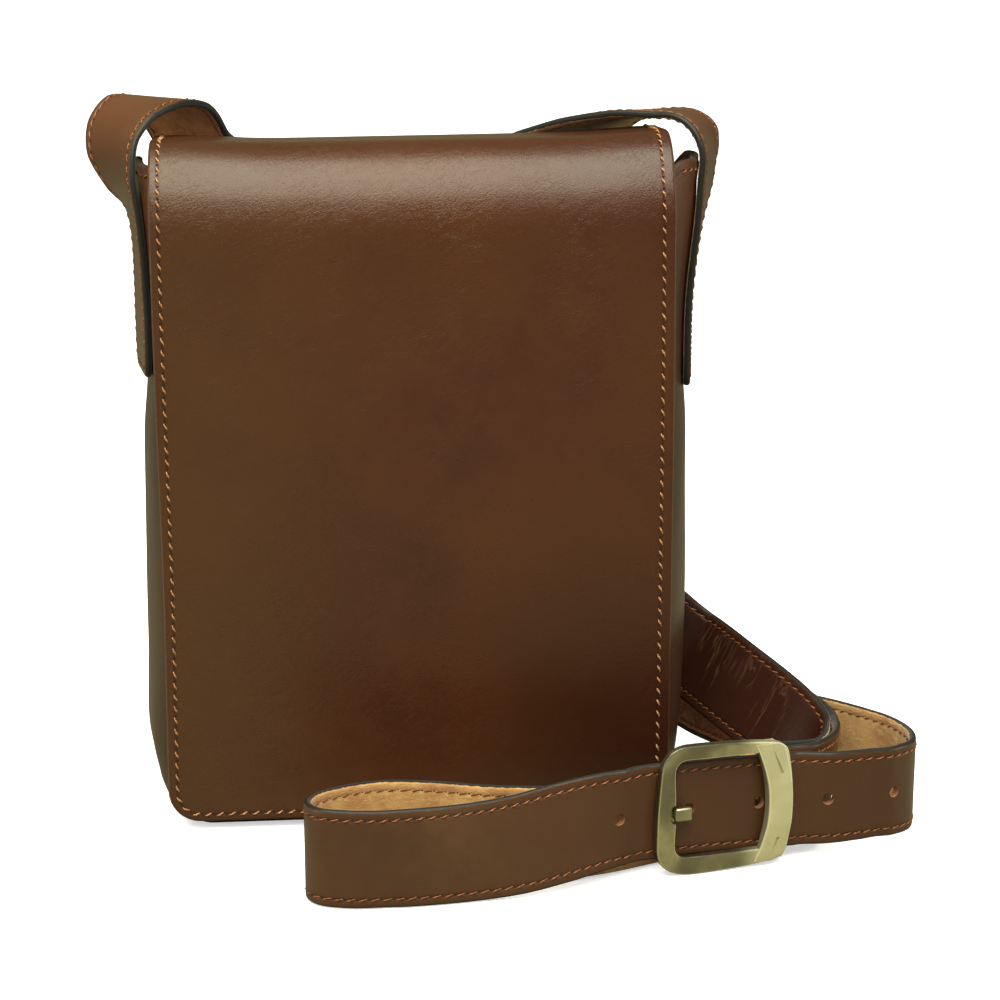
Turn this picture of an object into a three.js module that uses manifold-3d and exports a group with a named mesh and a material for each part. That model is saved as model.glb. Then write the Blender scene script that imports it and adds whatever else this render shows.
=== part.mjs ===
// Crossbody bag in brown leather with a belt-type strap and buckle.
// Millimetres, +Z up, +X to the right and -Y to the front as the flap is seen.
// The origin is on the floor, under the middle of the flap and half way through the depth.
import * as THREE from 'three';
import { mergeVertices } from 'three/addons/utils/BufferGeometryUtils.js';
import Module from 'manifold-3d';

// driving dimensions of the body
const flapHalfWidth = 100;
const flapHem = 3.6;
const crestHeight = 275.5;
const flapFace = -41;
const frontFace = -35;
const backFace = 35;
const frontTop = 252;
const gussetTop = 264;
const frontCrestRadius = 27;
const backCrestRadius = 12;
const flapLeather = 2.4;
const panelLeather = 2.2;
const gussetLeather = 2;
const seamGap = 0.3;
const flapCorner = 13;
const bodyCorner = 16;
const seamFlange = 7;

// driving dimensions of the strap and the buckle
const strapWidth = 38;
const strapLeather = 3;
const strapStep = 24;
const bendStep = 0.2;
const tabCorner = 6;
const tipCorner = 17;
const holeDiameter = 4.6;
const holePitch = 28.8;
const holesBefore = 1;
const holesAfter = 3;
const buckleTurn = THREE.MathUtils.degToRad(13);
const buckleHeart = new THREE.Vector3(112, -98.8, 25);
const buckleHeight = 51;
const buckleLeft = -26.8;
const buckleRight = 27.2;
const barWidth = 5.9;
const barBack = 0.4;
const barFront = 5.2;
const keeperFront = 6.3;
const keeperWidth = 10.3;
const keeperBow = 5.2;
const heelAlong = 22;
const heelRadius = 1.2;
const heelOut = -2 * strapLeather - 2 * seamGap - heelRadius;
const prongHole = -13.6;
const prongNeck = -14.1;
const prongUp = -0.5;
const prongWidth = 5.4;

const leatherBrown = 0x56331f;
const edgeBrown = 0x3f2a1b;
const antiqueBrass = 0x9a935f;

const wasm = await Module();
wasm.setup();

// A closed sheet between two grids of points, walls round its four borders included.
function shell(outer, inner) {
  const rows = outer.length;
  const columns = outer[0].length;
  const positions = [];
  for (const grid of [outer, inner]) {
    for (const row of grid) {
      for (const point of row) positions.push(point.x, point.y, point.z);
    }
  }
  const index = [];
  const quad = (a, b, c, d) => index.push(a, b, c, a, c, d);
  const over = (i, j) => i * columns + j;
  const under = (i, j) => rows * columns + i * columns + j;
  for (let i = 0; i + 1 < rows; i += 1) {
    for (let j = 0; j + 1 < columns; j += 1) {
      quad(over(i, j), over(i + 1, j), over(i + 1, j + 1), over(i, j + 1));
      quad(under(i, j), under(i, j + 1), under(i + 1, j + 1), under(i + 1, j));
    }
    quad(over(i, 0), under(i, 0), under(i + 1, 0), over(i + 1, 0));
    quad(over(i + 1, columns - 1), under(i + 1, columns - 1), under(i, columns - 1), over(i, columns - 1));
  }
  for (let j = 0; j + 1 < columns; j += 1) {
    quad(over(0, j + 1), under(0, j + 1), under(0, j), over(0, j));
    quad(over(rows - 1, j), under(rows - 1, j), under(rows - 1, j + 1), over(rows - 1, j + 1));
  }
  if (signedVolume(positions, index) < 0) index.reverse();
  const geometry = new THREE.BufferGeometry();
  geometry.setAttribute('position', new THREE.Float32BufferAttribute(positions, 3));
  geometry.setIndex(index);
  geometry.computeVertexNormals();
  return geometry;
}

function signedVolume(positions, index) {
  const corner = (k) => new THREE.Vector3().fromArray(positions, 3 * index[k]);
  let volume = 0;
  for (let k = 0; k < index.length; k += 3) {
    volume += corner(k).dot(corner(k + 1).cross(corner(k + 2)));
  }
  return volume;
}

// How much narrower half a strip is, a given way in from an end with rounded corners.
function cornerLoss(distance, radius) {
  if (distance >= radius) return 0;
  return radius - Math.sqrt(radius * radius - (radius - distance) ** 2);
}

const cornerShares = [0, 0.08, 0.3, 0.62, 1];

// Distances along a strip made of spans: even steps in each span, closer ones at round end corners.
function stations(spans, step, startCorner, endCorner) {
  const length = spans.reduce((sum, span) => sum + span, 0);
  const places = cornerShares.map((part) => part * startCorner);
  let start = 0;
  for (const span of spans) {
    const count = Math.ceil(span / step);
    for (let k = 1; k <= count; k += 1) {
      const place = start + span * k / count;
      if (place > startCorner + step / 4 && place < length - endCorner - step / 4) places.push(place);
    }
    start += span;
  }
  for (const part of cornerShares.toReversed()) places.push(length - part * endCorner);
  return places;
}

// Straight-line reading of a short table, sorted by its column "at".
function reading(table, at, column) {
  const last = table.findIndex((row) => row.at >= at);
  if (last === 0) return table[0][column];
  if (last < 0) return table.at(-1)[column];
  const [low, high] = [table[last - 1], table[last]];
  return THREE.MathUtils.mapLinear(at, low.at, high.at, low[column], high[column]);
}

function toSolid(geometry) {
  const bare = geometry.clone();
  bare.deleteAttribute('normal');
  bare.deleteAttribute('uv');
  const merged = mergeVertices(bare, 1e-4);
  return new wasm.Manifold(new wasm.Mesh({
    numProp: 3,
    vertProperties: Float32Array.from(merged.attributes.position.array),
    triVerts: Uint32Array.from(merged.index.array),
  }));
}

function toGeometry(solid) {
  const mesh = solid.getMesh();
  const geometry = new THREE.BufferGeometry();
  geometry.setAttribute('position', new THREE.BufferAttribute(Float32Array.from(mesh.vertProperties), 3));
  geometry.setIndex(new THREE.BufferAttribute(Uint32Array.from(mesh.triVerts), 1));
  geometry.computeVertexNormals();
  return geometry;
}

// flap and back: one hide, followed in the side view from the back's hem over the crest to the flap's hem

const crestDip = [
  { at: -104, dip: 2.6 },
  { at: -88, dip: 2.3 },
  { at: -58, dip: 4 },
  { at: 35, dip: 3.1 },
  { at: 68, dip: 2.7 },
  { at: 90, dip: 0.8 },
  { at: 104, dip: 0.1 },
];

const flapSpread = [
  { at: 0, left: 104, right: 107 },
  { at: 0.35, left: 106, right: 109.5 },
  { at: 0.42, left: 103.4, right: 105.2 },
  { at: 0.47, left: 100.9, right: 101.9 },
  { at: 0.56, left: 101.1, right: 101 },
  { at: 0.7, left: 101.1, right: 101.2 },
  { at: 0.84, left: 100.4, right: 101 },
  { at: 1, left: 101.4, right: 100.3 },
];

function flapAndBack() {
  const side = new THREE.Path();
  side.moveTo(backFace, 1.5);
  side.lineTo(backFace, crestHeight - 1 - backCrestRadius);
  side.quadraticCurveTo(backFace, crestHeight - 1, backFace - backCrestRadius, crestHeight - 1);
  side.lineTo(flapFace + frontCrestRadius + 2, crestHeight);
  side.bezierCurveTo(
    flapFace + 0.42 * frontCrestRadius, crestHeight,
    flapFace, crestHeight - 0.6 * frontCrestRadius,
    flapFace, crestHeight - 1.35 * frontCrestRadius,
  );
  side.lineTo(flapFace, flapHem);
  const length = side.getLength();
  const columns = [-1, -0.96, -0.72, -0.4, 0, 0.4, 0.72, 0.96, 1];
  const pillow = 1.6;
  const outer = [];
  const inner = [];
  for (const distance of stations(side.getCurveLengths().map(spanOf), 9, bodyCorner, flapCorner)) {
    const share = distance / length;
    const place = side.getPointAt(share);
    const travel = side.getTangentAt(share);
    const inward = new THREE.Vector3(0, -travel.y, travel.x);
    const loss = cornerLoss(distance, bodyCorner) + cornerLoss(length - distance, flapCorner);
    const left = reading(flapSpread, share, 'left') - loss;
    const right = reading(flapSpread, share, 'right') - loss;
    const swell = place.x === flapFace ? pillow * Math.sin(Math.PI * place.y / crestHeight) : 0;
    const slack = THREE.MathUtils.smoothstep(place.y, 225, crestHeight);
    const outerRow = columns.map((column) => {
      const x = column * (column < 0 ? left : right);
      return new THREE.Vector3(
        x,
        place.x - swell * (1 - column * column),
        place.y - slack * reading(crestDip, x, 'dip'),
      );
    });
    outer.push(outerRow);
    inner.push(outerRow.map((point) => point.clone().addScaledVector(inward, flapLeather)));
  }
  return shell(outer, inner);
}

// Turns running totals of length, as a path gives them, into the length of each span.
function spanOf(total, k, totals) {
  return k === 0 ? total : total - totals[k - 1];
}

// front panel: flat, with round lower corners and a plain top edge under the flap

function frontPanel() {
  const outer = [];
  const inner = [];
  const bottom = 1.4;
  const half = flapHalfWidth - 0.5;
  for (const distance of stations([frontTop - bottom], 40, bodyCorner, 0.5)) {
    const reach = half - cornerLoss(distance, bodyCorner);
    const row = [-1, -0.5, 0, 0.5, 1].map((c) => new THREE.Vector3(c * reach, frontFace, bottom + distance));
    outer.push(row);
    inner.push(row.map((point) => point.clone().setY(frontFace + panelLeather)));
  }
  return shell(outer, inner);
}

// gusset: a U-shaped strip between the panels, soft enough to belly out beside the flap

const gussetSwell = [
  { at: 0, leftFlare: 8, leftBelly: 2.2, rightFlare: 11, rightBelly: 3 },
  { at: 10, leftFlare: 8.3, leftBelly: 3.4, rightFlare: 11.4, rightBelly: 4.2 },
  { at: 18, leftFlare: 8.3, leftBelly: 5.2, rightFlare: 11.6, rightBelly: 5.3 },
  { at: 28, leftFlare: 8.3, leftBelly: 7.6, rightFlare: 11.6, rightBelly: 6.8 },
  { at: 40, leftFlare: 8.3, leftBelly: 7.4, rightFlare: 11.6, rightBelly: 7.6 },
  { at: 60, leftFlare: 8.3, leftBelly: 6.4, rightFlare: 11.6, rightBelly: 8 },
  { at: 120, leftFlare: 8.3, leftBelly: 5.4, rightFlare: 11.6, rightBelly: 8 },
  { at: 156, leftFlare: 8.3, leftBelly: 4.6, rightFlare: 11.4, rightBelly: 8.2 },
  { at: 176, leftFlare: 8.3, leftBelly: 2, rightFlare: 10.4, rightBelly: 6.5 },
  { at: 208, leftFlare: 8.3, leftBelly: 2, rightFlare: 10.4, rightBelly: 6.9 },
  { at: 236, leftFlare: 8.3, leftBelly: 2.8, rightFlare: 11, rightBelly: 9.3 },
  { at: 250, leftFlare: 8.4, leftBelly: 4, rightFlare: 11.5, rightBelly: 10.2 },
  { at: 264, leftFlare: 8.6, leftBelly: 3.5, rightFlare: 12, rightBelly: 10.2 },
];

function gusset() {
  const half = flapHalfWidth - 1.3;
  const corner = bodyCorner - 1;
  const path = new THREE.Path();
  path.moveTo(-half, gussetTop);
  path.lineTo(-half, corner);
  path.absarc(-half + corner, corner, corner, Math.PI, 1.5 * Math.PI, false);
  path.lineTo(half - corner, 0);
  path.absarc(half - corner, corner, corner, 1.5 * Math.PI, 2 * Math.PI, false);
  path.lineTo(half, gussetTop);
  const front = frontFace + panelLeather + seamGap;
  const back = backFace - flapLeather - seamGap;
  const bend = 2.6;
  const frontCut = 6;
  const frontCutDepth = 7;
  const backCut = 8;
  const backCutDepth = 10;
  const topCutReach = 44;
  const gussetSteps = [14, 6, 4, 6, 14];
  const crossing = [0, 0.03, 0.1, 0.22, 0.36, 0.5, 0.64, 0.78, 0.9, 0.97, 1];
  const spans = path.getCurveLengths().map(spanOf).filter((span) => span > 1);
  const length = path.getLength();
  const distances = spans.flatMap((span, k) => evenSteps(span, gussetSteps[k], spans.slice(0, k)));
  distances.unshift(0);
  const outer = [];
  const inner = [];
  for (const distance of distances) {
    const share = Math.min(distance / length, 1);
    const place = path.getPointAt(share);
    const travel = path.getTangentAt(share);
    const outward = new THREE.Vector3(travel.y, 0, -travel.x);
    const hand = place.x < 0 ? 'left' : 'right';
    const flare = reading(gussetSwell, place.y, `${hand}Flare`);
    const belly = reading(gussetSwell, place.y, `${hand}Belly`);
    const aboveFloor = outward.z < 0 ? corner * (-1 / outward.z - 1) : Infinity;
    const rise = (v) => Math.min(flare * v + belly * (1 - Math.abs(2 * v - 1) ** 3), 0.9 * aboveFloor);
    const spine = new THREE.Vector3(place.x, 0, place.y);
    const nearTop = THREE.MathUtils.smoothstep(place.y, gussetTop - topCutReach, gussetTop);
    const at = (reach, depth) => {
      const nearFront = Math.max(0, front + frontCutDepth - depth) / frontCutDepth;
      const nearBack = Math.max(0, depth - back + backCutDepth) / backCutDepth;
      const point = spine.clone().addScaledVector(outward, reach).setY(depth);
      return point.setZ(point.z - nearTop * (frontCut * nearFront ** 2 + backCut * nearBack ** 2));
    };
    const outerRow = [at(-seamFlange, front), at(-bend, front)];
    const innerRow = [at(-seamFlange, front + gussetLeather), at(-bend, front + gussetLeather)];
    for (const v of crossing) {
      const depth = THREE.MathUtils.lerp(front + 0.4, back - 0.4, v);
      const tuck = v === 0 || v === 1 ? 0.8 : 0;
      outerRow.push(at(rise(v) - tuck, depth));
      const inside = THREE.MathUtils.lerp(front + gussetLeather, back - gussetLeather, v);
      innerRow.push(at(rise(v) - gussetLeather, inside));
    }
    outerRow.push(at(rise(1) - bend, back), at(rise(1) - seamFlange, back));
    innerRow.push(at(rise(1) - bend, back - gussetLeather), at(rise(1) - seamFlange, back - gussetLeather));
    outer.push(outerRow);
    inner.push(innerRow);
  }
  return shell(outer, inner);
}

function evenSteps(span, steps, before) {
  const start = before.reduce((sum, length) => sum + length, 0);
  return Array.from({ length: steps }, (_, k) => start + span * (k + 1) / steps);
}

// places beside the buckle: along the strap, out of its grain side, and up

const buckleAlong = new THREE.Vector3(Math.cos(buckleTurn), Math.sin(buckleTurn), 0);
const buckleOut = new THREE.Vector3(Math.sin(buckleTurn), -Math.cos(buckleTurn), 0);

function besideBuckle(along, out, z) {
  const place = buckleHeart.clone().setZ(z);
  return place.addScaledVector(buckleAlong, along).addScaledVector(buckleOut, out);
}

function buckleRow(along, out) {
  const place = besideBuckle(along, out, buckleHeart.z);
  return { x: place.x, y: place.y, z: place.z, wx: 0, wy: 0, wz: 1 };
}

// A strap follows rows of its middle (x, y, z) with the way across it (wx, wy, wz). A row with lean set keeps
// the slant of its way across, as where a strap going downhill is folded round an upright line.
function ribbon(rows, grainSide, startCorner, endCorner) {
  const middle = new THREE.CatmullRomCurve3(rows.map((row) => new THREE.Vector3(row.x, row.y, row.z)));
  const across = new THREE.CatmullRomCurve3(rows.map((row) => new THREE.Vector3(row.wx, row.wy, row.wz)));
  const leans = new THREE.CatmullRomCurve3(rows.map((row) => new THREE.Vector3(row.lean ?? 0, 0, 0)));
  middle.arcLengthDivisions = 60 * rows.length;
  const length = middle.getLength();
  const grain = [];
  const flesh = [];
  for (const distance of bendStations(middle, across, startCorner, endCorner)) {
    const t = middle.getUtoTmapping(distance / length);
    const place = middle.getPoint(t);
    const travel = middle.getTangent(t);
    const wide = across.getPoint(t).normalize();
    wide.addScaledVector(travel, (leans.getPoint(t).x - 1) * wide.dot(travel)).normalize();
    const slant = Math.sqrt(1 - wide.dot(travel) ** 2);
    const out = new THREE.Vector3().crossVectors(travel, wide).setLength(strapLeather / 2);
    out.multiplyScalar(grainSide);
    const loss = cornerLoss(distance, startCorner) + cornerLoss(length - distance, endCorner);
    const reach = (strapWidth / 2 - loss) / slant;
    const edges = [-1, 1].map((side) => place.clone().addScaledVector(wide, side * reach));
    grain.push(edges.map((point) => point.clone().add(out)));
    flesh.push(edges.map((point) => point.clone().sub(out)));
  }
  return shell(grain, flesh);
}

// Distances along a strap: close together where it bends or twists, far apart where it runs straight.
function bendStations(middle, across, startCorner, endCorner) {
  const length = middle.getLength();
  const places = cornerShares.map((part) => part * startCorner);
  let last = startCorner;
  let bend = 0;
  let travel = middle.getTangent(0);
  let wide = across.getPoint(0);
  for (let distance = startCorner; distance < length - endCorner - 1; distance += 0.5) {
    const t = middle.getUtoTmapping(distance / length);
    const nextTravel = middle.getTangent(t);
    const nextWide = across.getPoint(t);
    bend += travel.angleTo(nextTravel) + wide.angleTo(nextWide);
    [travel, wide] = [nextTravel, nextWide];
    if (bend > bendStep || distance - last > strapStep) {
      places.push(distance);
      last = distance;
      bend = 0;
    }
  }
  for (const part of cornerShares.toReversed()) places.push(length - part * endCorner);
  return places;
}

// long strap: sewn to the right side, over the top, folded back behind the bag, round to the front, through
// the buckle and round again to its free end

const longStrapBehind = [
  { x: 112.4, y: 0, z: 172.5, wx: -0.165, wy: -0.986, wz: 0 },
  { x: 113, y: 0, z: 208, wx: -0.17, wy: -0.985, wz: 0 },
  { x: 116.3, y: 0, z: 236, wx: -0.2, wy: -0.98, wz: 0 },
  { x: 119.1, y: 0.3, z: 254, wx: -0.28, wy: -0.96, wz: 0 },
  { x: 119.8, y: 1, z: 265.5, wx: -0.29, wy: -0.96, wz: 0 },
  { x: 116.8, y: 5, z: 274, wx: -0.34, wy: -0.94, wz: 0 },
  { x: 110.6, y: 11.3, z: 278.7, wx: -0.42, wy: -0.91, wz: 0 },
  { x: 100, y: 19, z: 279.5, wx: -0.5, wy: -0.86, wz: 0.03 },
  { x: 88, y: 27, z: 277.6, wx: -0.52, wy: -0.84, wz: 0.1 },
  { x: 75, y: 36, z: 271, wx: -0.56, wy: -0.76, wz: 0.33 },
  { x: 60, y: 45.5, z: 261, wx: -0.58, wy: -0.57, wz: 0.58 },
  { x: 41, y: 52, z: 248, wx: -0.52, wy: -0.25, wz: 0.82 },
  { x: 15, y: 54, z: 232, wx: -0.5, wy: 0, wz: 0.87 },
  { x: -25, y: 54, z: 208.8, wx: -0.5, wy: 0, wz: 0.87 },
  { x: -40, y: 54, z: 200, wx: -0.3, wy: 0, wz: 0.95, lean: 0.5 },
  { x: -50, y: 54, z: 194, wx: 0, wy: 0, wz: 1, lean: 1 },
  { x: -57.1, y: 51.9, z: 189.7, wx: 0, wy: 0, wz: 1, lean: 1 },
  { x: -59.2, y: 46.8, z: 186.4, wx: 0, wy: 0, wz: 1, lean: 1 },
  { x: -57.1, y: 41.7, z: 183, wx: 0, wy: 0, wz: 1, lean: 1 },
  { x: -50, y: 39.6, z: 178.6, wx: 0, wy: 0, wz: 1, lean: 1 },
  { x: -40, y: 39.6, z: 171.4, wx: 0.35, wy: 0, wz: 0.94, lean: 0.5 },
  { x: -20, y: 39.6, z: 156.2, wx: 0.61, wy: 0, wz: 0.79 },
  { x: 60, y: 39.8, z: 93.5, wx: 0.61, wy: 0, wz: 0.79 },
  { x: 90, y: 40, z: 70.5, wx: 0.6, wy: 0, wz: 0.8 },
];

const longStrapTurn = [
  { x: 104, y: 39.8, z: 60.5, wx: 0.6, wy: 0, wz: 0.8 },
  { x: 114.25, y: 39, z: 51.65, wx: 0.6, wy: 0, wz: 0.8 },
  { x: 121.1, y: 35, z: 46.75, wx: 0.57, wy: 0, wz: 0.82 },
  { x: 126.15, y: 22, z: 44.95, wx: 0.53, wy: 0, wz: 0.85 },
  { x: 132.15, y: 3.3, z: 42.9, wx: 0.5, wy: 0, wz: 0.87 },
  { x: 151.3, y: -31.5, z: 31.85, wx: 0.38, wy: 0.02, wz: 0.92 },
  { x: 158.3, y: -48, z: 24.6, wx: 0.2, wy: 0, wz: 0.98 },
  { x: 158, y: -61, z: 22.6, wx: 0.1, wy: 0, wz: 1 },
  { x: 153, y: -70.5, z: 21.6, wx: 0.03, wy: 0, wz: 1 },
  { x: 144, y: -76, z: 21.4, wx: 0, wy: 0, wz: 1 },
];

const longStrapLoop = [
  { x: 65, y: -102.5, z: 19.2, wx: 0, wy: 0, wz: 1 },
  { x: 45, y: -107, z: 19.15, wx: 0, wy: 0, wz: 1 },
  { x: 22, y: -104, z: 19.15, wx: 0, wy: 0, wz: 1 },
  { x: 0, y: -97.2, z: 19.15, wx: 0, wy: 0, wz: 1 },
  { x: -18, y: -95, z: 19.15, wx: 0, wy: 0, wz: 1 },
  { x: -33, y: -99.5, z: 19.15, wx: 0, wy: 0, wz: 1 },
  { x: -43, y: -106.8, z: 19.15, wx: 0, wy: 0, wz: 1 },
  { x: -46, y: -114.5, z: 19.15, wx: 0, wy: 0, wz: 1 },
  { x: -42.6, y: -122, z: 19.15, wx: 0, wy: 0, wz: 1 },
  { x: -32, y: -126.4, z: 19.15, wx: 0, wy: 0, wz: 1 },
  { x: -12.4, y: -127.2, z: 19.15, wx: 0, wy: 0, wz: 1 },
  { x: 14, y: -123.6, z: 19.15, wx: 0, wy: 0.04, wz: 1 },
  { x: 32, y: -120, z: 20.2, wx: 0, wy: 0.12, wz: 0.99 },
  { x: 48, y: -115.5, z: 22.3, wx: 0, wy: 0.17, wz: 0.98 },
  { x: 63.5, y: -110.2, z: 24, wx: 0, wy: 0.08, wz: 0.99 },
  { x: 73, y: -106.8, z: 24.4, wx: 0, wy: 0, wz: 1 },
];

const longStrapEnd = [
  { x: 156, y: -90.4, z: 23.4, wx: 0, wy: -0.05, wz: 1 },
  { x: 172, y: -86, z: 22.9, wx: 0, wy: -0.08, wz: 1 },
  { x: 183, y: -81.8, z: 22.4, wx: 0, wy: -0.08, wz: 1 },
  { x: 190.5, y: -75, z: 21.9, wx: 0, wy: -0.06, wz: 1 },
  { x: 194, y: -65.5, z: 21.4, wx: 0, wy: -0.02, wz: 1 },
  { x: 194.2, y: -55, z: 21, wx: 0, wy: 0, wz: 1 },
  { x: 190.6, y: -41.5, z: 20.6, wx: 0, wy: 0, wz: 1 },
  { x: 183.6, y: -29.6, z: 20.3, wx: 0, wy: 0, wz: 1 },
  { x: 172, y: -13.5, z: 19.7, wx: 0, wy: 0, wz: 1 },
  { x: 153, y: 6, z: 19.2, wx: 0, wy: 0, wz: 1 },
];

function strapLong() {
  const underBuckle = [
    { ...buckleRow(27, -16.5), z: 20.4 },
    { ...buckleRow(0, -15.6), z: 19.6 },
    { ...buckleRow(-23, -11), z: 19.3 },
  ];
  const throughBuckle = [
    buckleRow(-33, -strapLeather / 2),
    buckleRow(-11, -strapLeather / 2),
    { ...buckleRow(11, -strapLeather / 2), z: 24.3 },
    { ...buckleRow(25, -strapLeather / 2), z: 23.7 },
    { ...buckleRow(33, -strapLeather / 2), z: 23.5 },
  ];
  const rows = [
    ...longStrapBehind, ...longStrapTurn, ...underBuckle, ...longStrapLoop, ...throughBuckle, ...longStrapEnd,
  ];
  let solid = toSolid(ribbon(rows, 1, tabCorner, tipCorner));
  const middle = new THREE.CatmullRomCurve3(rows.map((row) => new THREE.Vector3(row.x, row.y, row.z)));
  middle.arcLengthDivisions = 60 * rows.length;
  const samples = middle.getSpacedPoints(8000);
  const heart = besideBuckle(0, -strapLeather / 2, buckleHeart.z);
  const ways = samples.map((point) => point.distanceTo(heart));
  const start = ways.indexOf(Math.min(...ways));
  const pace = middle.getLength() / 8000;
  for (let k = -holesBefore; k <= holesAfter; k += 1) {
    const at = start + Math.round((prongHole + k * holePitch) / pace);
    solid = solid.subtract(holePunch(samples[at], samples[at + 1].clone().sub(samples[at - 1])));
  }
  return toGeometry(solid);
}

function holePunch(place, travel) {
  const punch = new THREE.CylinderGeometry(holeDiameter / 2, holeDiameter / 2, 3 * strapLeather, 12);
  punch.rotateZ(Math.atan2(travel.y, travel.x));
  punch.translate(place.x, place.y, place.z);
  return toSolid(punch);
}

// short strap: sewn to the left side, over the top, across the back, round to the front, folded at the heel

const shortStrapRows = [
  { x: -106.9, y: 0, z: 180, wx: 0.15, wy: -0.99, wz: 0 },
  { x: -106.9, y: 0, z: 212, wx: 0.15, wy: -0.99, wz: 0 },
  { x: -107.6, y: 0, z: 234, wx: 0.14, wy: -0.99, wz: 0.01 },
  { x: -109.4, y: 0.2, z: 246, wx: 0.17, wy: -0.98, wz: 0.06 },
  { x: -113.6, y: 1, z: 256.5, wx: 0.34, wy: -0.92, wz: 0.14 },
  { x: -115.8, y: 4, z: 269, wx: 0.55, wy: -0.82, wz: 0.12 },
  { x: -112.5, y: 10.5, z: 279.6, wx: 0.72, wy: -0.69, wz: 0.06 },
  { x: -105, y: 19.5, z: 285.6, wx: 0.83, wy: -0.56, wz: -0.03 },
  { x: -96.6, y: 31, z: 284.6, wx: 0.88, wy: -0.47, wz: -0.04 },
  { x: -92.4, y: 41, z: 279, wx: 0.87, wy: -0.48, wz: 0.03 },
  { x: -88, y: 49, z: 270, wx: 0.86, wy: -0.5, wz: 0.04 },
  { x: -80.5, y: 54.8, z: 256, wx: 0.88, wy: -0.26, wz: 0.38 },
  { x: -66, y: 58, z: 237, wx: 0.8, wy: -0.05, wz: 0.6 },
  { x: -40, y: 59.5, z: 206, wx: 0.75, wy: 0, wz: 0.66 },
  { x: 20, y: 59.5, z: 139, wx: 0.73, wy: 0, wz: 0.68 },
  { x: 60, y: 57, z: 95, wx: 0.73, wy: 0, wz: 0.68 },
  { x: 85, y: 51.5, z: 63, wx: 0.68, wy: 0, wz: 0.73 },
  { x: 104, y: 47.5, z: 43.5, wx: 0.62, wy: 0, wz: 0.78 },
  { x: 117, y: 43, z: 33.5, wx: 0.6, wy: 0, wz: 0.8 },
  { x: 125.5, y: 37, z: 29, wx: 0.57, wy: 0, wz: 0.82 },
  { x: 131, y: 24, z: 28.8, wx: 0.52, wy: 0, wz: 0.85 },
  { x: 137, y: 6.5, z: 30.4, wx: 0.46, wy: 0, wz: 0.89 },
  { x: 155.6, y: -28.6, z: 28, wx: 0.38, wy: 0.03, wz: 0.92 },
  { x: 163, y: -47, z: 24, wx: 0.2, wy: 0, wz: 0.98 },
  { x: 162.4, y: -62.2, z: 23.6, wx: 0.1, wy: 0, wz: 1 },
  { x: 157.2, y: -75, z: 24.2, wx: 0.04, wy: 0, wz: 1 },
];

function strapShort() {
  const turn = heelRadius + seamGap + strapLeather / 2;
  const fold = [115, 150, 180, 210, 245].map((degrees) => {
    const angle = THREE.MathUtils.degToRad(degrees);
    return buckleRow(heelAlong + turn * Math.cos(angle), heelOut + turn * Math.sin(angle));
  });
  const near = heelOut + turn;
  const rows = [
    ...shortStrapRows,
    buckleRow(39, near - 0.2),
    buckleRow(31, near - 0.4),
    buckleRow(26, near - 0.3),
    ...fold,
    buckleRow(26, heelOut - turn),
    buckleRow(31, heelOut - turn + 0.6),
    buckleRow(38, near - strapLeather - seamGap - 1.2),
    buckleRow(46, near - strapLeather - seamGap - 1.6),
  ];
  const solid = toSolid(ribbon(rows, -1, tabCorner, 1));
  const slotLength = 9;
  const slot = new THREE.BoxGeometry(slotLength, 14, prongWidth + 1);
  slot.rotateZ(buckleTurn);
  const place = besideBuckle(heelAlong - 1.5, heelOut, buckleHeart.z);
  slot.translate(place.x, place.y, place.z);
  return toGeometry(solid.subtract(toSolid(slot)));
}

// buckle, drawn flat with x along the strap and y up, then stood up beside the strap

function standUp(geometry) {
  geometry.rotateX(Math.PI / 2);
  geometry.rotateZ(buckleTurn);
  geometry.translate(buckleHeart.x, buckleHeart.y, buckleHeight / 2);
  return geometry;
}

function plate(outline, back, front) {
  const options = { depth: front - back, bevelEnabled: false, curveSegments: 8 };
  const geometry = new THREE.ExtrudeGeometry(outline, options);
  geometry.translate(0, 0, back);
  return toSolid(standUp(geometry));
}

function block(width, height, depth, along, up, out) {
  const geometry = new THREE.BoxGeometry(width, height, depth);
  geometry.translate(along, up, out);
  return toSolid(standUp(geometry));
}

function frameOutline() {
  const top = buckleHeight / 2;
  const shoulder = top - 11;
  const outline = new THREE.Shape();
  outline.moveTo(buckleLeft - 1.6, -shoulder);
  outline.quadraticCurveTo(buckleLeft - 2.2, 0, buckleLeft, shoulder);
  outline.quadraticCurveTo(buckleLeft + 1, top, buckleLeft + 12, top + 0.4);
  outline.quadraticCurveTo(4, top + 0.4, 17, top - 1.2);
  outline.quadraticCurveTo(buckleRight - 2.2, top - 1.6, buckleRight - 1.6, shoulder + 5);
  outline.quadraticCurveTo(buckleRight + 2, 0, buckleRight - 1.8, -shoulder - 4);
  outline.quadraticCurveTo(buckleRight - 2.6, -top + 2.2, 17, -top + 1.6);
  outline.quadraticCurveTo(4, -top, buckleLeft + 12, -top);
  outline.quadraticCurveTo(buckleLeft - 0.2, -top + 0.4, buckleLeft - 1.6, -shoulder);
  return outline;
}

function frameWindow() {
  const left = buckleLeft + barWidth;
  const right = buckleRight - 6;
  const top = buckleHeight / 2 - 5.2;
  const bottom = 7 - buckleHeight / 2;
  const round = 6;
  const opening = new THREE.Path();
  opening.moveTo(left, bottom + round);
  opening.quadraticCurveTo(left, bottom, left + round, bottom);
  opening.lineTo(right, bottom);
  opening.lineTo(right, top);
  opening.lineTo(left + round, top);
  opening.quadraticCurveTo(left, top, left, top - round);
  opening.closePath();
  return opening;
}

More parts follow.
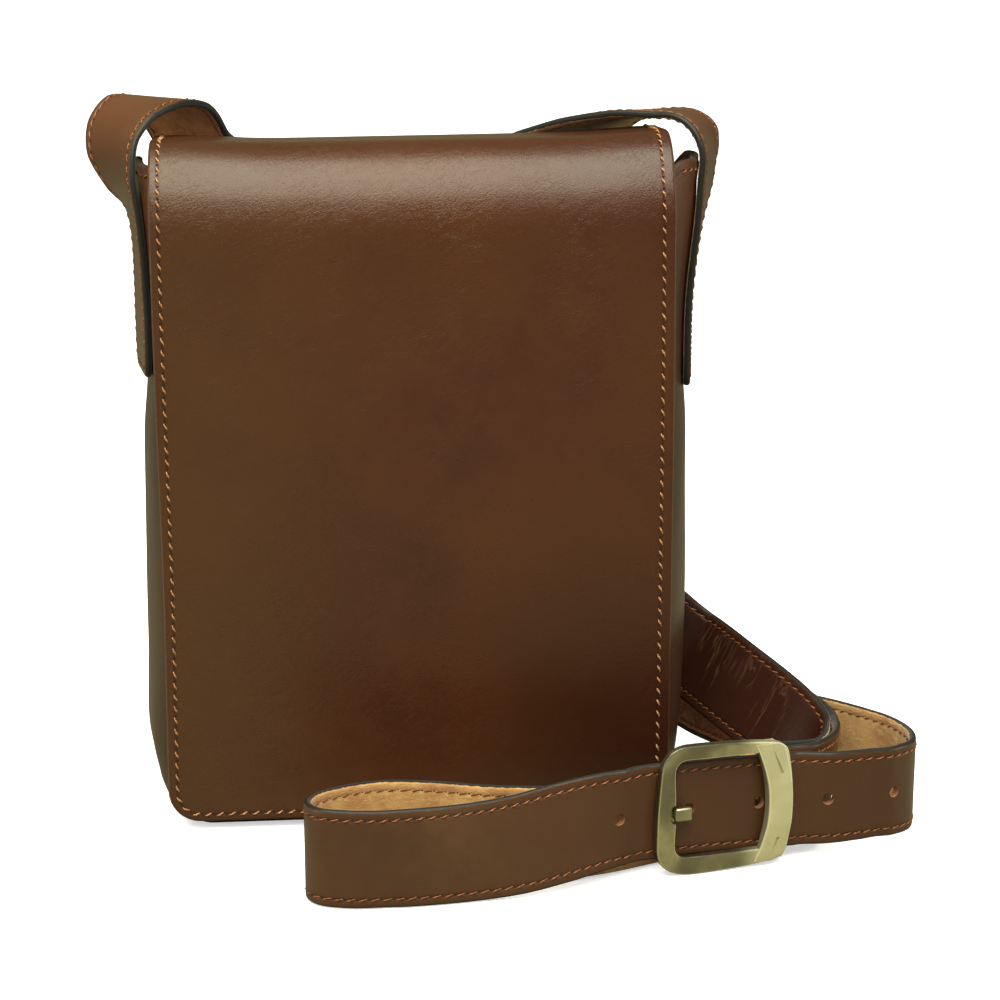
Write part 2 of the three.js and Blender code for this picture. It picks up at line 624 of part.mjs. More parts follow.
// The keeper lies between two bows across the strap; the right-hand one is the frame's own outline.
function keeperOutline() {
  const end = buckleHeight / 2 - 2.2;
  const left = buckleRight - keeperWidth;
  const outline = new THREE.Shape();
  outline.moveTo(left - keeperBow, -end);
  outline.lineTo(buckleRight - 3.4, -end + 1.6);
  outline.quadraticCurveTo(buckleRight + 2, 0, buckleRight - 3.4, end - 1.6);
  outline.lineTo(left - keeperBow, end);
  outline.quadraticCurveTo(left + keeperBow, 0, left - keeperBow, -end);
  return outline;
}

function buckleFrame() {
  const outline = frameOutline();
  outline.holes.push(frameWindow());
  const lift = buckleHeart.z - buckleHeight / 2;
  const lugBack = heelOut - heelRadius - 0.4;
  const lugFront = barBack + 1;
  let frame = plate(outline, barBack, barFront).add(plate(keeperOutline(), barBack, keeperFront));
  const lowLug = { inside: lift - strapWidth / 2 - 1.9, outside: 1.4 - buckleHeight / 2 };
  const highLug = { inside: lift + strapWidth / 2 + 0.6, outside: buckleHeight / 2 - 4.6 };
  for (const { inside, outside } of [lowLug, highLug]) {
    const middle = (inside + outside) / 2;
    const height = Math.abs(outside - inside);
    frame = frame.add(block(6, height, lugFront - lugBack, heelAlong, middle, (lugFront + lugBack) / 2));
  }
  const heelReach = highLug.outside - lowLug.outside - 1;
  const heel = new THREE.CylinderGeometry(heelRadius, heelRadius, heelReach, 10);
  heel.translate(heelAlong, (highLug.outside + lowLug.outside) / 2, heelOut);
  frame = frame.add(toSolid(standUp(heel)));
  const notch = block(4.4, 7.4, 4, buckleLeft + barWidth - 0.6, 0, barFront - 0.6);
  return toGeometry(frame.subtract(notch));
}

// prong: an eye round the heel bar, a shank behind the strap, a neck through the hole and a blunt tip

function buckleProng() {
  const eyeHole = heelRadius + seamGap;
  const neckRadius = 1.5;
  const eye = new THREE.Shape();
  eye.absarc(0, 0, eyeHole + 1.1, 0, 2 * Math.PI, false);
  const bore = new THREE.Path();
  bore.absarc(0, 0, eyeHole, 0, 2 * Math.PI, true);
  eye.holes.push(bore);
  const ring = new THREE.ExtrudeGeometry(eye, { depth: prongWidth, bevelEnabled: false, curveSegments: 8 });
  ring.rotateX(Math.PI / 2);
  ring.translate(heelAlong, prongUp + prongWidth / 2, heelOut);
  const shankStart = heelAlong - eyeHole - 0.6;
  const shankEnd = prongNeck - neckRadius;
  const shankOut = heelOut + 0.4;
  const neck = new THREE.CylinderGeometry(neckRadius, neckRadius, barFront - 1.4 - shankOut, 10);
  neck.rotateX(Math.PI / 2);
  neck.translate(prongNeck, prongUp, (barFront - 1.4 + shankOut) / 2);
  const tipLeft = buckleLeft + barWidth - 0.5;
  const tipRight = prongNeck + 0.6;
  return toGeometry(
    toSolid(standUp(ring))
      .add(block(shankStart - shankEnd, 4, 2.4, (shankStart + shankEnd) / 2, prongUp, shankOut))
      .add(toSolid(standUp(neck)))
      .add(block(tipRight - tipLeft, prongWidth, 3, (tipRight + tipLeft) / 2, prongUp, barFront - 0.8)),
  );
}

function piece(name, geometry, color, roughness, metalness) {
  const mesh = new THREE.Mesh(geometry, new THREE.MeshStandardMaterial({ color, roughness, metalness }));
  mesh.name = name;
  return mesh;
}

const bag = new THREE.Group();
bag.add(
  piece('flap_and_back', flapAndBack(), leatherBrown, 0.38, 0),
  piece('front_panel', frontPanel(), leatherBrown, 0.42, 0),
  piece('gusset', gusset(), leatherBrown, 0.42, 0),
  piece('strap_long', strapLong(), edgeBrown, 0.4, 0),
  piece('strap_short', strapShort(), edgeBrown, 0.4, 0),
  piece('buckle_frame', buckleFrame(), antiqueBrass, 0.35, 1),
  piece('buckle_prong', buckleProng(), antiqueBrass, 0.35, 1),
);

export default bag;
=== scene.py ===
import math

import bmesh
import bpy
import numpy as np
from mathutils import Matrix, Vector


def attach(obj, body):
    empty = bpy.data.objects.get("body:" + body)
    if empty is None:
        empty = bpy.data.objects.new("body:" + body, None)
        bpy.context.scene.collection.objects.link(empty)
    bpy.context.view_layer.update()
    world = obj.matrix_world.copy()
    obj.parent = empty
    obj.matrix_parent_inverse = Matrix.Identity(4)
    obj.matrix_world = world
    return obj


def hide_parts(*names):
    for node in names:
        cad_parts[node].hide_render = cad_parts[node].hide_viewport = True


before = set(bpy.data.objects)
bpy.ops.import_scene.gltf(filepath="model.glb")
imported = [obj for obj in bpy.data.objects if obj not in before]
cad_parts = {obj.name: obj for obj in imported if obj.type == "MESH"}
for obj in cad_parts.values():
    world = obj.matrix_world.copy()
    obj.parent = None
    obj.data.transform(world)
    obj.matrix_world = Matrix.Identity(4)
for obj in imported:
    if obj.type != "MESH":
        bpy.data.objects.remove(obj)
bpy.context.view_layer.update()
mm = 0.001
print("frame loaded:", sorted(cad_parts))


# small helpers

def unit(vectors):
    return vectors / np.maximum(np.linalg.norm(vectors, axis=-1, keepdims=True), 1e-12)


def ease(low, high, value):
    share = np.clip((value - low) / (high - low), 0, 1)
    return share * share * (3 - 2 * share)


def softReading(table, at, column, blur):  # a short table read along straight lines, its kinks rounded off
    places = [row[0] for row in table]
    values = [row[column] for row in table]
    return sum(np.interp(at + blur * k / 4, places, values) for k in range(-4, 5)) / 9


def runAlong(points):  # the way covered at each point of a line
    return np.concatenate([[0], np.cumsum(np.linalg.norm(np.diff(points, axis=0), axis=1))])


def cornerLoss(distance, radius):  # how much narrower a strip is beside its rounded corner
    inside = np.clip(radius - distance, 0, radius)
    return radius - np.sqrt(radius * radius - inside * inside)


def tint(red, green, blue):  # screen colour to the linear colour that shaders take
    shares = (red / 255, green / 255, blue / 255)
    linear = [c / 12.92 if c <= 0.04045 else ((c + 0.055) / 1.055) ** 2.4 for c in shares]
    return (*linear, 1)


def addObject(name, mesh):
    made = bpy.data.objects.new(name, mesh)
    bpy.context.scene.collection.objects.link(made)
    return made


def smoothFaces(mesh, sharpAngle=None):
    mesh.polygons.foreach_set("use_smooth", [True] * len(mesh.polygons))
    if sharpAngle is not None:
        mesh.set_sharp_from_angle(angle=math.radians(sharpAngle))
    mesh.update()


def bakeModifiers(made):  # the shape after its modifiers becomes the object's own mesh
    bpy.context.view_layer.update()
    whole = bpy.data.meshes.new_from_object(made.evaluated_get(bpy.context.evaluated_depsgraph_get()))
    made.modifiers.clear()
    made.data = whole
    return whole


def cutAway(made, mesh, sharpAngle, **settings):  # a cutter's mesh taken out of an object
    tool = addObject("cutter", mesh)
    cut = made.modifiers.new("cut", "BOOLEAN")
    cut.object = tool
    cut.solver = "EXACT"
    for key, value in settings.items():
        setattr(cut, key, value)
    smoothFaces(bakeModifiers(made), sharpAngle)
    bpy.data.objects.remove(tool)


# camera, as the photograph was taken

cameraSettings = {"place": (-45.5, -948.4, 343.6), "yaw": 4.89, "pitch": 13.0, "roll": -0.22, "lens": 85.6}


def setCamera(settings):
    yaw, pitch, roll = (math.radians(settings[key]) for key in ("yaw", "pitch", "roll"))
    level = Vector((math.sin(yaw), math.cos(yaw), 0))
    side = Vector((math.cos(yaw), -math.sin(yaw), 0))
    up = Vector((0, 0, 1))
    ahead = level * math.cos(pitch) - up * math.sin(pitch)
    tipped = up * math.cos(pitch) + level * math.sin(pitch)
    right = side * math.cos(roll) + tipped * math.sin(roll)
    top = tipped * math.cos(roll) - side * math.sin(roll)
    lens = bpy.data.cameras.new("camera")
    lens.lens = settings["lens"]
    lens.sensor_width = 36
    camera = bpy.data.objects.new("camera", lens)
    bpy.context.scene.collection.objects.link(camera)
    turn = Matrix((right, top, -ahead)).transposed().to_4x4()
    camera.matrix_world = Matrix.Translation(Vector(settings["place"]) * mm) @ turn
    bpy.context.scene.camera = camera


setCamera(cameraSettings)
print("camera set")


# shader helpers and shared effects

def feed(tree, socket, value):
    if isinstance(value, bpy.types.NodeSocket):
        tree.links.new(value, socket)
    else:
        socket.default_value = value


def fill(tree, made, values):  # links or constants for the named or numbered inputs of a node
    for key, value in values.items():
        feed(tree, made.inputs[key], value)


def node(tree, kind, values=None, **settings):
    made = tree.nodes.new(kind)
    for key, value in settings.items():
        setattr(made, key, value)
    fill(tree, made, values or {})
    return made


def calc(tree, operation, *values, clamp=False):
    made = node(tree, "ShaderNodeMath", dict(enumerate(values)), operation=operation, use_clamp=clamp)
    return made.outputs[0]


def remap(tree, value, low, high, toLow=0.0, toHigh=1.0):
    values = {"Value": value, "From Min": low, "From Max": high, "To Min": toLow, "To Max": toHigh}
    return node(tree, "ShaderNodeMapRange", values, interpolation_type="SMOOTHSTEP").outputs["Result"]


def blendColor(tree, share, first, second):
    return node(tree, "ShaderNodeMix", {0: share, 6: first, 7: second}, data_type="RGBA").outputs[2]


def layOver(tree, color, paint, mask, most):  # a paint over a colour where the mask is, at most this strong
    return blendColor(tree, calc(tree, "MULTIPLY", mask, most), color, paint)


def noise(tree, vector, scale, detail=2.0, roughness=0.5, distortion=0.0):
    values = {"Vector": vector, "Scale": scale, "Detail": detail, "Roughness": roughness}
    return node(tree, "ShaderNodeTexNoise", {**values, "Distortion": distortion}).outputs["Fac"]


def mapped(tree, vector, scale=(1, 1, 1), turn=(0, 0, 0), place=(0, 0, 0)):
    values = {"Vector": vector, "Location": place, "Rotation": turn, "Scale": scale}
    return node(tree, "ShaderNodeMapping", values).outputs["Vector"]


def newGroup(name, inputs, outputs):
    group = bpy.data.node_groups.new(name, "ShaderNodeTree")
    for label, kind, value in inputs:
        socket = group.interface.new_socket(name=label, in_out="INPUT", socket_type=kind)
        if value is not None:
            socket.default_value = value
    for label, kind in outputs:
        group.interface.new_socket(name=label, in_out="OUTPUT", socket_type=kind)
    return group, node(group, "NodeGroupInput").outputs, node(group, "NodeGroupOutput").inputs


def useGroup(tree, group, **values):
    return node(tree, "ShaderNodeGroup", values, node_tree=group).outputs


vectorSocket, floatSocket, colorSocket = "NodeSocketVector", "NodeSocketFloat", "NodeSocketColor"


def makeGrainGroup():  # pores and short drawn creases of a smooth cow hide
    group, given, result = newGroup(
        "hideGrain",
        [("Vector", vectorSocket, None), ("Pores", floatSocket, 1100.0), ("Crease", floatSocket, 1.0)],
        [("Height", floatSocket), ("Lines", floatSocket)],
    )
    warp = node(group, "ShaderNodeTexNoise", {"Vector": given["Vector"], "Scale": 160})
    shifted = node(group, "ShaderNodeVectorMath", {
        0: warp.outputs["Color"], 1: (0.004, 0.004, 0.004), 2: given["Vector"]}, operation="MULTIPLY_ADD")
    cells = node(group, "ShaderNodeTexVoronoi", {
        "Vector": shifted.outputs[0], "Scale": given["Pores"]}, feature="DISTANCE_TO_EDGE")
    pebble = remap(group, cells.outputs["Distance"], 0.0, 0.22)

    def ridges(turn, scale, place, detail):  # lines where a stretched noise crosses its middle
        leaning = mapped(group, shifted.outputs[0], turn=(0, 0, turn))
        spots = noise(group, mapped(group, leaning, scale, place=place), 1.0, detail, 0.6)
        return calc(group, "ABSOLUTE", calc(group, "SUBTRACT", spots, 0.5))

    lines = remap(group, ridges(0.61, (90, 300, 300), (0, 0, 0), 4.0), 0.0, 0.05, 1.0, 0.0)
    crossLines = remap(group, ridges(1.13, (100, 250, 300), (0.3, 0.1, 0), 3.0), 0.0, 0.045, 0.8, 0.0)
    patchy = remap(group, noise(group, given["Vector"], 38.0, 2.0), 0.3, 0.7, 0.25, 1.0)
    allLines = calc(group, "MULTIPLY", calc(group, "MAXIMUM", lines, crossLines), patchy)
    creased = calc(group, "MULTIPLY", allLines, given["Crease"])
    feed(group, result["Height"], calc(group, "SUBTRACT", calc(group, "MULTIPLY", pebble, 0.35), creased))
    feed(group, result["Lines"], creased)
    return group


def makeMottleGroup():  # cloudy dye, lighter and darker, as on a hand-rubbed hide
    group, given, result = newGroup(
        "cloudyDye",
        [("Vector", vectorSocket, None), ("Middle", colorSocket, None), ("Dark", colorSocket, None),
         ("Warm", colorSocket, None), ("Cloud", floatSocket, 14.0)],
        [("Color", colorSocket), ("Clouds", floatSocket)],
    )
    clouds = noise(group, given["Vector"], given["Cloud"], 4.0, 0.55, 0.6)
    fine = noise(group, given["Vector"], 130.0, 4.0, 0.6)
    mixed = calc(group, "ADD", calc(group, "MULTIPLY", clouds, 0.75), calc(group, "MULTIPLY", fine, 0.25))
    darkened = blendColor(group, remap(group, mixed, 0.38, 0.62, 0.85, 0.0), given["Middle"], given["Dark"])
    elsewhere = mapped(group, given["Vector"], place=(4, 2, 7))
    warmth = remap(group, noise(group, elsewhere, 9.0, 3.0), 0.42, 0.68)
    feed(group, result["Color"], blendColor(group, warmth, darkened, given["Warm"]))
    feed(group, result["Clouds"], mixed)
    return group


def makeEdgeGroup():  # how far the painted edge runs over onto the face, from the map of edge distances
    group, given, result = newGroup(
        "paintedEdge",
        [("Edge Map", vectorSocket, None), ("Vector", vectorSocket, None), ("Reach", floatSocket, 0.9)],
        [("Mask", floatSocket), ("Rub", floatSocket)],
    )
    split = node(group, "ShaderNodeSeparateXYZ", {0: given["Edge Map"]})
    ragged = calc(group, "MULTIPLY_ADD", noise(group, given["Vector"], 420.0, 2.0), 0.7, -0.35)
    way = calc(group, "ADD", split.outputs[0], ragged)
    reach = calc(group, "ADD", given["Reach"], 0.25)
    feed(group, result["Mask"], remap(group, way, given["Reach"], reach, 1.0, 0.0))
    feed(group, result["Rub"], remap(group, way, 0.9, 3.2, 1.0, 0.0))
    return group


def makeSeamGroup():  # the line pressed into the hide by the stitches
    group, given, result = newGroup(
        "seamLine",
        [("Edge Map", vectorSocket, None), ("Spread", floatSocket, 0.9)],
        [("Mask", floatSocket)],
    )
    split = node(group, "ShaderNodeSeparateXYZ", {0: given["Edge Map"]})
    off = calc(group, "ABSOLUTE", split.outputs[1])
    feed(group, result["Mask"], remap(group, off, 0.0, given["Spread"], 1.0, 0.0))
    return group


hideGrain = makeGrainGroup()
cloudyDye = makeMottleGroup()
paintedEdge = makeEdgeGroup()
seamLine = makeSeamGroup()

edgePaint = tint(20, 17, 13)


def startMaterial(name):
    material = bpy.data.materials.new(name)
    material.use_nodes = True
    tree = material.node_tree
    return material, tree, tree.nodes["Principled BSDF"]


def mapSocket(tree, name):
    return node(tree, "ShaderNodeUVMap", uv_map=name).outputs[0]


def bumpFrom(tree, height, distance, under=None):
    made = node(tree, "ShaderNodeBump", {"Height": height, "Distance": distance, "Strength": 1.0})
    if under is not None:
        feed(tree, made.inputs["Normal"], under)
    return made.outputs["Normal"]


colourFades = {  # the axis along which a colour change sets in, where it starts and where it is full, in metres; the turn, flap, crest and gusset fades carry painted shade, painted reflection and painted light
    "turnLow": (2, 0.16, 0.11), "turnBack": (1, -0.07, -0.05), "turnLeft": (0, 0.184, 0.172),
    "strapRight": (0, -0.005, 0.05), "flapLeft": (0, 0.02, -0.10), "flapRight": (0, -0.02, 0.08),
    "flapLow": (2, 0.17, 0.03), "crest": (2, 0.258, 0.272), "gussetHigh": (2, 0.19, 0.26),
}


def grainMaterial(name, look):
    material, tree, shader = startMaterial(name)
    lay = mapSocket(tree, "layMap")
    edge = mapSocket(tree, "edgeMap")
    room = node(tree, "ShaderNodeTexCoord").outputs["Object"]
    dye = useGroup(tree, cloudyDye, Vector=room, Middle=look["middle"], Dark=look["dark"], Warm=look["warm"],
                   Cloud=look["cloud"])
    grain = useGroup(tree, hideGrain, Vector=lay, Pores=look["pores"], Crease=look["crease"])
    border = useGroup(tree, paintedEdge, Vector=lay, Reach=look["edgeReach"], **{"Edge Map": edge})
    seam = useGroup(tree, seamLine, Spread=0.9, **{"Edge Map": edge})
    color = dye["Color"]
    place = node(tree, "ShaderNodeSeparateXYZ", {0: room})

    def fade(name):
        axis, low, high = colourFades[name]
        return remap(tree, place.outputs[axis], low, high)

    if look.get("paintedShade"):  # the strap is darker towards the right; painted shade: the stretch that comes round from behind the bag is painted darker and redder, with pale wrinkles
        turned = calc(tree, "MULTIPLY", fade("turnBack"), fade("turnLow"))
        turned = calc(tree, "MULTIPLY", turned, fade("turnLeft"))
        color = layOver(tree, color, look["dark"], fade("strapRight"), 0.8)
        color = layOver(tree, color, look["paintedShade"], turned, 0.95)
        across = noise(tree, mapped(tree, lay, (26, 150, 1), (0, 0, 0.12)), 1.0, 3.0, 0.6, 0.5)
        ridge = calc(tree, "ABSOLUTE", calc(tree, "SUBTRACT", across, 0.52))
        folds = remap(tree, ridge, 0.0, 0.03, 1.0, 0.0)
        folds = calc(tree, "MULTIPLY", folds, remap(tree, noise(tree, lay, 30.0, 2.0), 0.45, 0.65))
        color = layOver(tree, color, look["fold"], calc(tree, "MULTIPLY", folds, turned), 0.4)
    if look.get("oliveFloorReflection"):  # painted reflection and painted shade: the left of the flap is greener and lighter, a painted reflection of the floor; its lower right is darker and redder, painted shade where the strap and buckle block the floor's light; its crest is darker, painted shade on the top-facing crest
        lowRightShade = calc(tree, "MULTIPLY", fade("flapRight"), fade("flapLow"))
        color = layOver(tree, color, look["oliveFloorReflection"], fade("flapLeft"), 0.55)
        color = layOver(tree, color, look["red"], lowRightShade, 0.75)
        color = layOver(tree, color, look["crest"], fade("crest"), 0.5)
    if look.get("high"):  # painted light: the tops of the gusset are painted lighter and redder, as if lit
        color = layOver(tree, color, look["high"], fade("gussetHigh"), 0.7)
    upward = remap(tree, place.outputs[2], 0.06, 0.26, 0.35, 1.0)
    drawn = calc(tree, "MULTIPLY", calc(tree, "MULTIPLY", grain["Lines"], look["lineShare"]), upward)
    color = blendColor(tree, drawn, color, look["line"])
    color = layOver(tree, color, look["dark"], seam["Mask"], 0.55)
    color = layOver(tree, color, look["dark"], border["Rub"], 0.25)
    color = blendColor(tree, border["Mask"], color, look["edge"])
    rough = calc(tree, "MULTIPLY_ADD", dye["Clouds"], look["roughSpread"], look["rough"])
    edgeRough = calc(tree, "MULTIPLY", border["Mask"], look["edgeRough"])
    pressed = calc(tree, "MULTIPLY", seam["Mask"], -1.2)
    unpainted = calc(tree, "SUBTRACT", 1.0, border["Mask"])
    fine = bumpFrom(tree, calc(tree, "MULTIPLY", grain["Height"], unpainted), look["bump"])
    fill(tree, shader, {
        "Base Color": color, "Roughness": calc(tree, "ADD", rough, edgeRough, clamp=True),
        "Normal": bumpFrom(tree, pressed, 0.00012, under=fine), "Specular IOR Level": look["specular"],
        "Coat Weight": look["coat"], "Coat Roughness": look["coatRough"]})
    return material


def fleshMaterial(name, look):
    material, tree, shader = startMaterial(name)
    lay = mapSocket(tree, "layMap")
    edge = mapSocket(tree, "edgeMap")
    fibres = noise(tree, mapped(tree, lay, (500, 240, 300), (0, 0, 0.4)), 1.0, 6.0, 0.72, 0.8)
    patches = noise(tree, lay, 70.0, 3.0, 0.6)
    border = useGroup(tree, paintedEdge, Vector=lay, Reach=look["edgeReach"], **{"Edge Map": edge})
    seam = useGroup(tree, seamLine, Spread=1.0, **{"Edge Map": edge})
    color = blendColor(tree, remap(tree, patches, 0.35, 0.7), look["middle"], look["dark"])
    color = blendColor(tree, remap(tree, fibres, 0.45, 0.7, 0.0, 0.55), color, look["light"])
    color = layOver(tree, color, look["dark"], seam["Mask"], 0.35)
    fill(tree, shader, {
        "Base Color": blendColor(tree, border["Mask"], color, edgePaint),
        "Roughness": remap(tree, fibres, 0.3, 0.7, 0.72, 0.92), "Normal": bumpFrom(tree, fibres, 0.00035),
        "Specular IOR Level": 0.3, "Sheen Weight": 0.15, "Sheen Roughness": 0.5})
    return material


def threadMaterial(name, look):
    material, tree, shader = startMaterial(name)
    room = node(tree, "ShaderNodeTexCoord").outputs["Object"]
    strand = noise(tree, room, 2600.0, 2.0, 0.6)
    color = blendColor(tree, remap(tree, strand, 0.35, 0.65), look["dark"], look["light"])
    drift = noise(tree, room, 90.0, 2.0)
    fill(tree, shader, {
        "Base Color": blendColor(tree, remap(tree, drift, 0.4, 0.7, 0.0, 0.5), color, look["worn"]),
        "Roughness": remap(tree, strand, 0.3, 0.7, 0.34, 0.5), "Normal": bumpFrom(tree, strand, 0.0001)})
    return material


def dullMaterial(name, dark, light, scale, detail):  # the dark needle-hole marks, which are painted shade, and the cut walls of the belt holes
    material, tree, shader = startMaterial(name)
    room = node(tree, "ShaderNodeTexCoord").outputs["Object"]
    color = blendColor(tree, noise(tree, room, scale, detail), dark, light)
    fill(tree, shader, {"Base Color": color, "Roughness": 0.85})
    return material


def brassMaterial(name):
    material, tree, shader = startMaterial(name)
    room = node(tree, "ShaderNodeTexCoord").outputs["Object"]
    tarnish = noise(tree, room, 130.0, 4.0, 0.6)
    brushed = noise(tree, mapped(tree, room, (260, 260, 2600)), 1.0, 3.0, 0.6)
    color = blendColor(tree, remap(tree, tarnish, 0.36, 0.66), tint(200, 195, 160), tint(174, 170, 141))
    place = node(tree, "ShaderNodeSeparateXYZ", {0: room})
    # dark patches, partly tarnish, partly a painted reflection of dark surroundings
    patches = remap(tree, noise(tree, mapped(tree, room, place=(3, 1, 2)), 46.0, 1.0), 0.42, 0.62)
    color = layOver(tree, color, tint(116, 113, 97), patches, 0.75)
    paintedKeeperReflection = remap(tree, place.outputs[0], 0.116, 0.128)  # painted reflection: the keeper's end is painted bright and made less metallic, standing in for the floor's reflection
    color = layOver(tree, color, tint(214, 207, 160), paintedKeeperReflection, 0.7)
    split = node(tree, "ShaderNodeSeparateXYZ", {0: mapSocket(tree, "arrisMap")})
    # painted shade: the back and side walls of the casting are painted darker
    color = layOver(tree, color, tint(112, 112, 96), split.outputs[1], 0.75)
    # painted highlight: the arrises are painted pale, and polish lowers their roughness
    color = layOver(tree, color, tint(236, 230, 190), split.outputs[0], 0.7)
    rough = calc(tree, "MULTIPLY_ADD", brushed, 0.1, 0.25)
    polish = calc(tree, "MULTIPLY", split.outputs[0], 0.08)
    fill(tree, shader, {
        "Base Color": color, "Metallic": calc(tree, "MULTIPLY_ADD", paintedKeeperReflection, -0.45, 0.97),
        "Roughness": calc(tree, "SUBTRACT", rough, polish), "Normal": bumpFrom(tree, brushed, 0.000002)})
    return material


# leather sheets: a middle surface, its normals and the way to the nearest edge give the whole rounded sheet

def roundedRise(share):  # a quarter circle, from 0 at the edge to 1
    near = np.clip(share, 0, 1)
    return np.sqrt(np.clip(1 - (1 - near) ** 2, 0, 1))


def buildSheet(name, middle, normal, edgeWay, seamWay, lay, half, profile, materials, press=None):
    rows, columns = edgeWay.shape
    lift = half * sum(part * roundedRise(edgeWay / reach) for part, reach in profile)
    if press is not None:
        lift = lift - press
    grain = middle + normal * lift[..., None]
    flesh = middle - normal * lift[..., None]
    inside = np.zeros((rows, columns), bool)
    inside[1:-1, 1:-1] = True
    grainIndex = np.arange(rows * columns).reshape(rows, columns)
    fleshIndex = grainIndex.copy()
    fleshIndex[inside] = rows * columns + np.arange(inside.sum())
    points = np.concatenate([grain.reshape(-1, 3), flesh[inside]])

    def quads(index):
        return np.stack([index[:-1, :-1], index[:-1, 1:], index[1:, 1:], index[1:, :-1]], -1).reshape(-1, 4)

    front, back, flat = quads(grainIndex), quads(fleshIndex)[:, ::-1], quads(grainIndex)
    middleQuad = len(front) // 2
    corners = points[front[middleQuad]]
    facing = np.cross(corners[1] - corners[0], corners[2] - corners[0])
    flip = facing @ normal.reshape(-1, 3)[flat[middleQuad][0]] < 0
    backFlat = flat[:, ::-1]
    if flip:
        front, back, flat, backFlat = front[:, ::-1], back[:, ::-1], flat[:, ::-1], backFlat[:, ::-1]
    faces = np.concatenate([front, back])
    loops = np.concatenate([flat, backFlat]).reshape(-1)
    mesh = bpy.data.meshes.new(name)
    mesh.from_pydata(points.tolist(), [], faces.tolist())
    layer = mesh.uv_layers.new(name="layMap")
    layer.data.foreach_set("uv", lay.reshape(-1, 2)[loops].astype(np.float32).reshape(-1))
    edges = np.zeros((len(loops), 2), np.float32)
    edges[:, 0] = edgeWay.reshape(-1)[loops] / mm
    edges[:, 1] = seamWay.reshape(-1)[loops] / mm
    layer = mesh.uv_layers.new(name="edgeMap")
    layer.data.foreach_set("uv", edges.reshape(-1))
    for material in materials:
        mesh.materials.append(material)
    sides = np.zeros(len(faces), np.int32)
    sides[len(front):] = 1
    mesh.polygons.foreach_set("material_index", sides)
    smoothFaces(mesh)
    return addObject(name, mesh)


def surfaceNormals(grid):  # normals of a grid of points, from its neighbours
    along = np.gradient(grid, axis=0)
    across = np.gradient(grid, axis=1)
    return unit(np.cross(across, along))


# stitches: one Geometry Nodes tree, fed with the middle of each stitch, its way along and the way out

stitchSettings = {"pitch": 4.75, "length": 3.2, "thickness": 0.88, "slant": 0.46, "twist": 5.2}
strapStitches = {"pitch": 4.55, "length": 3.8, "thickness": 0.8, "slant": 0.28, "twist": 5.2}


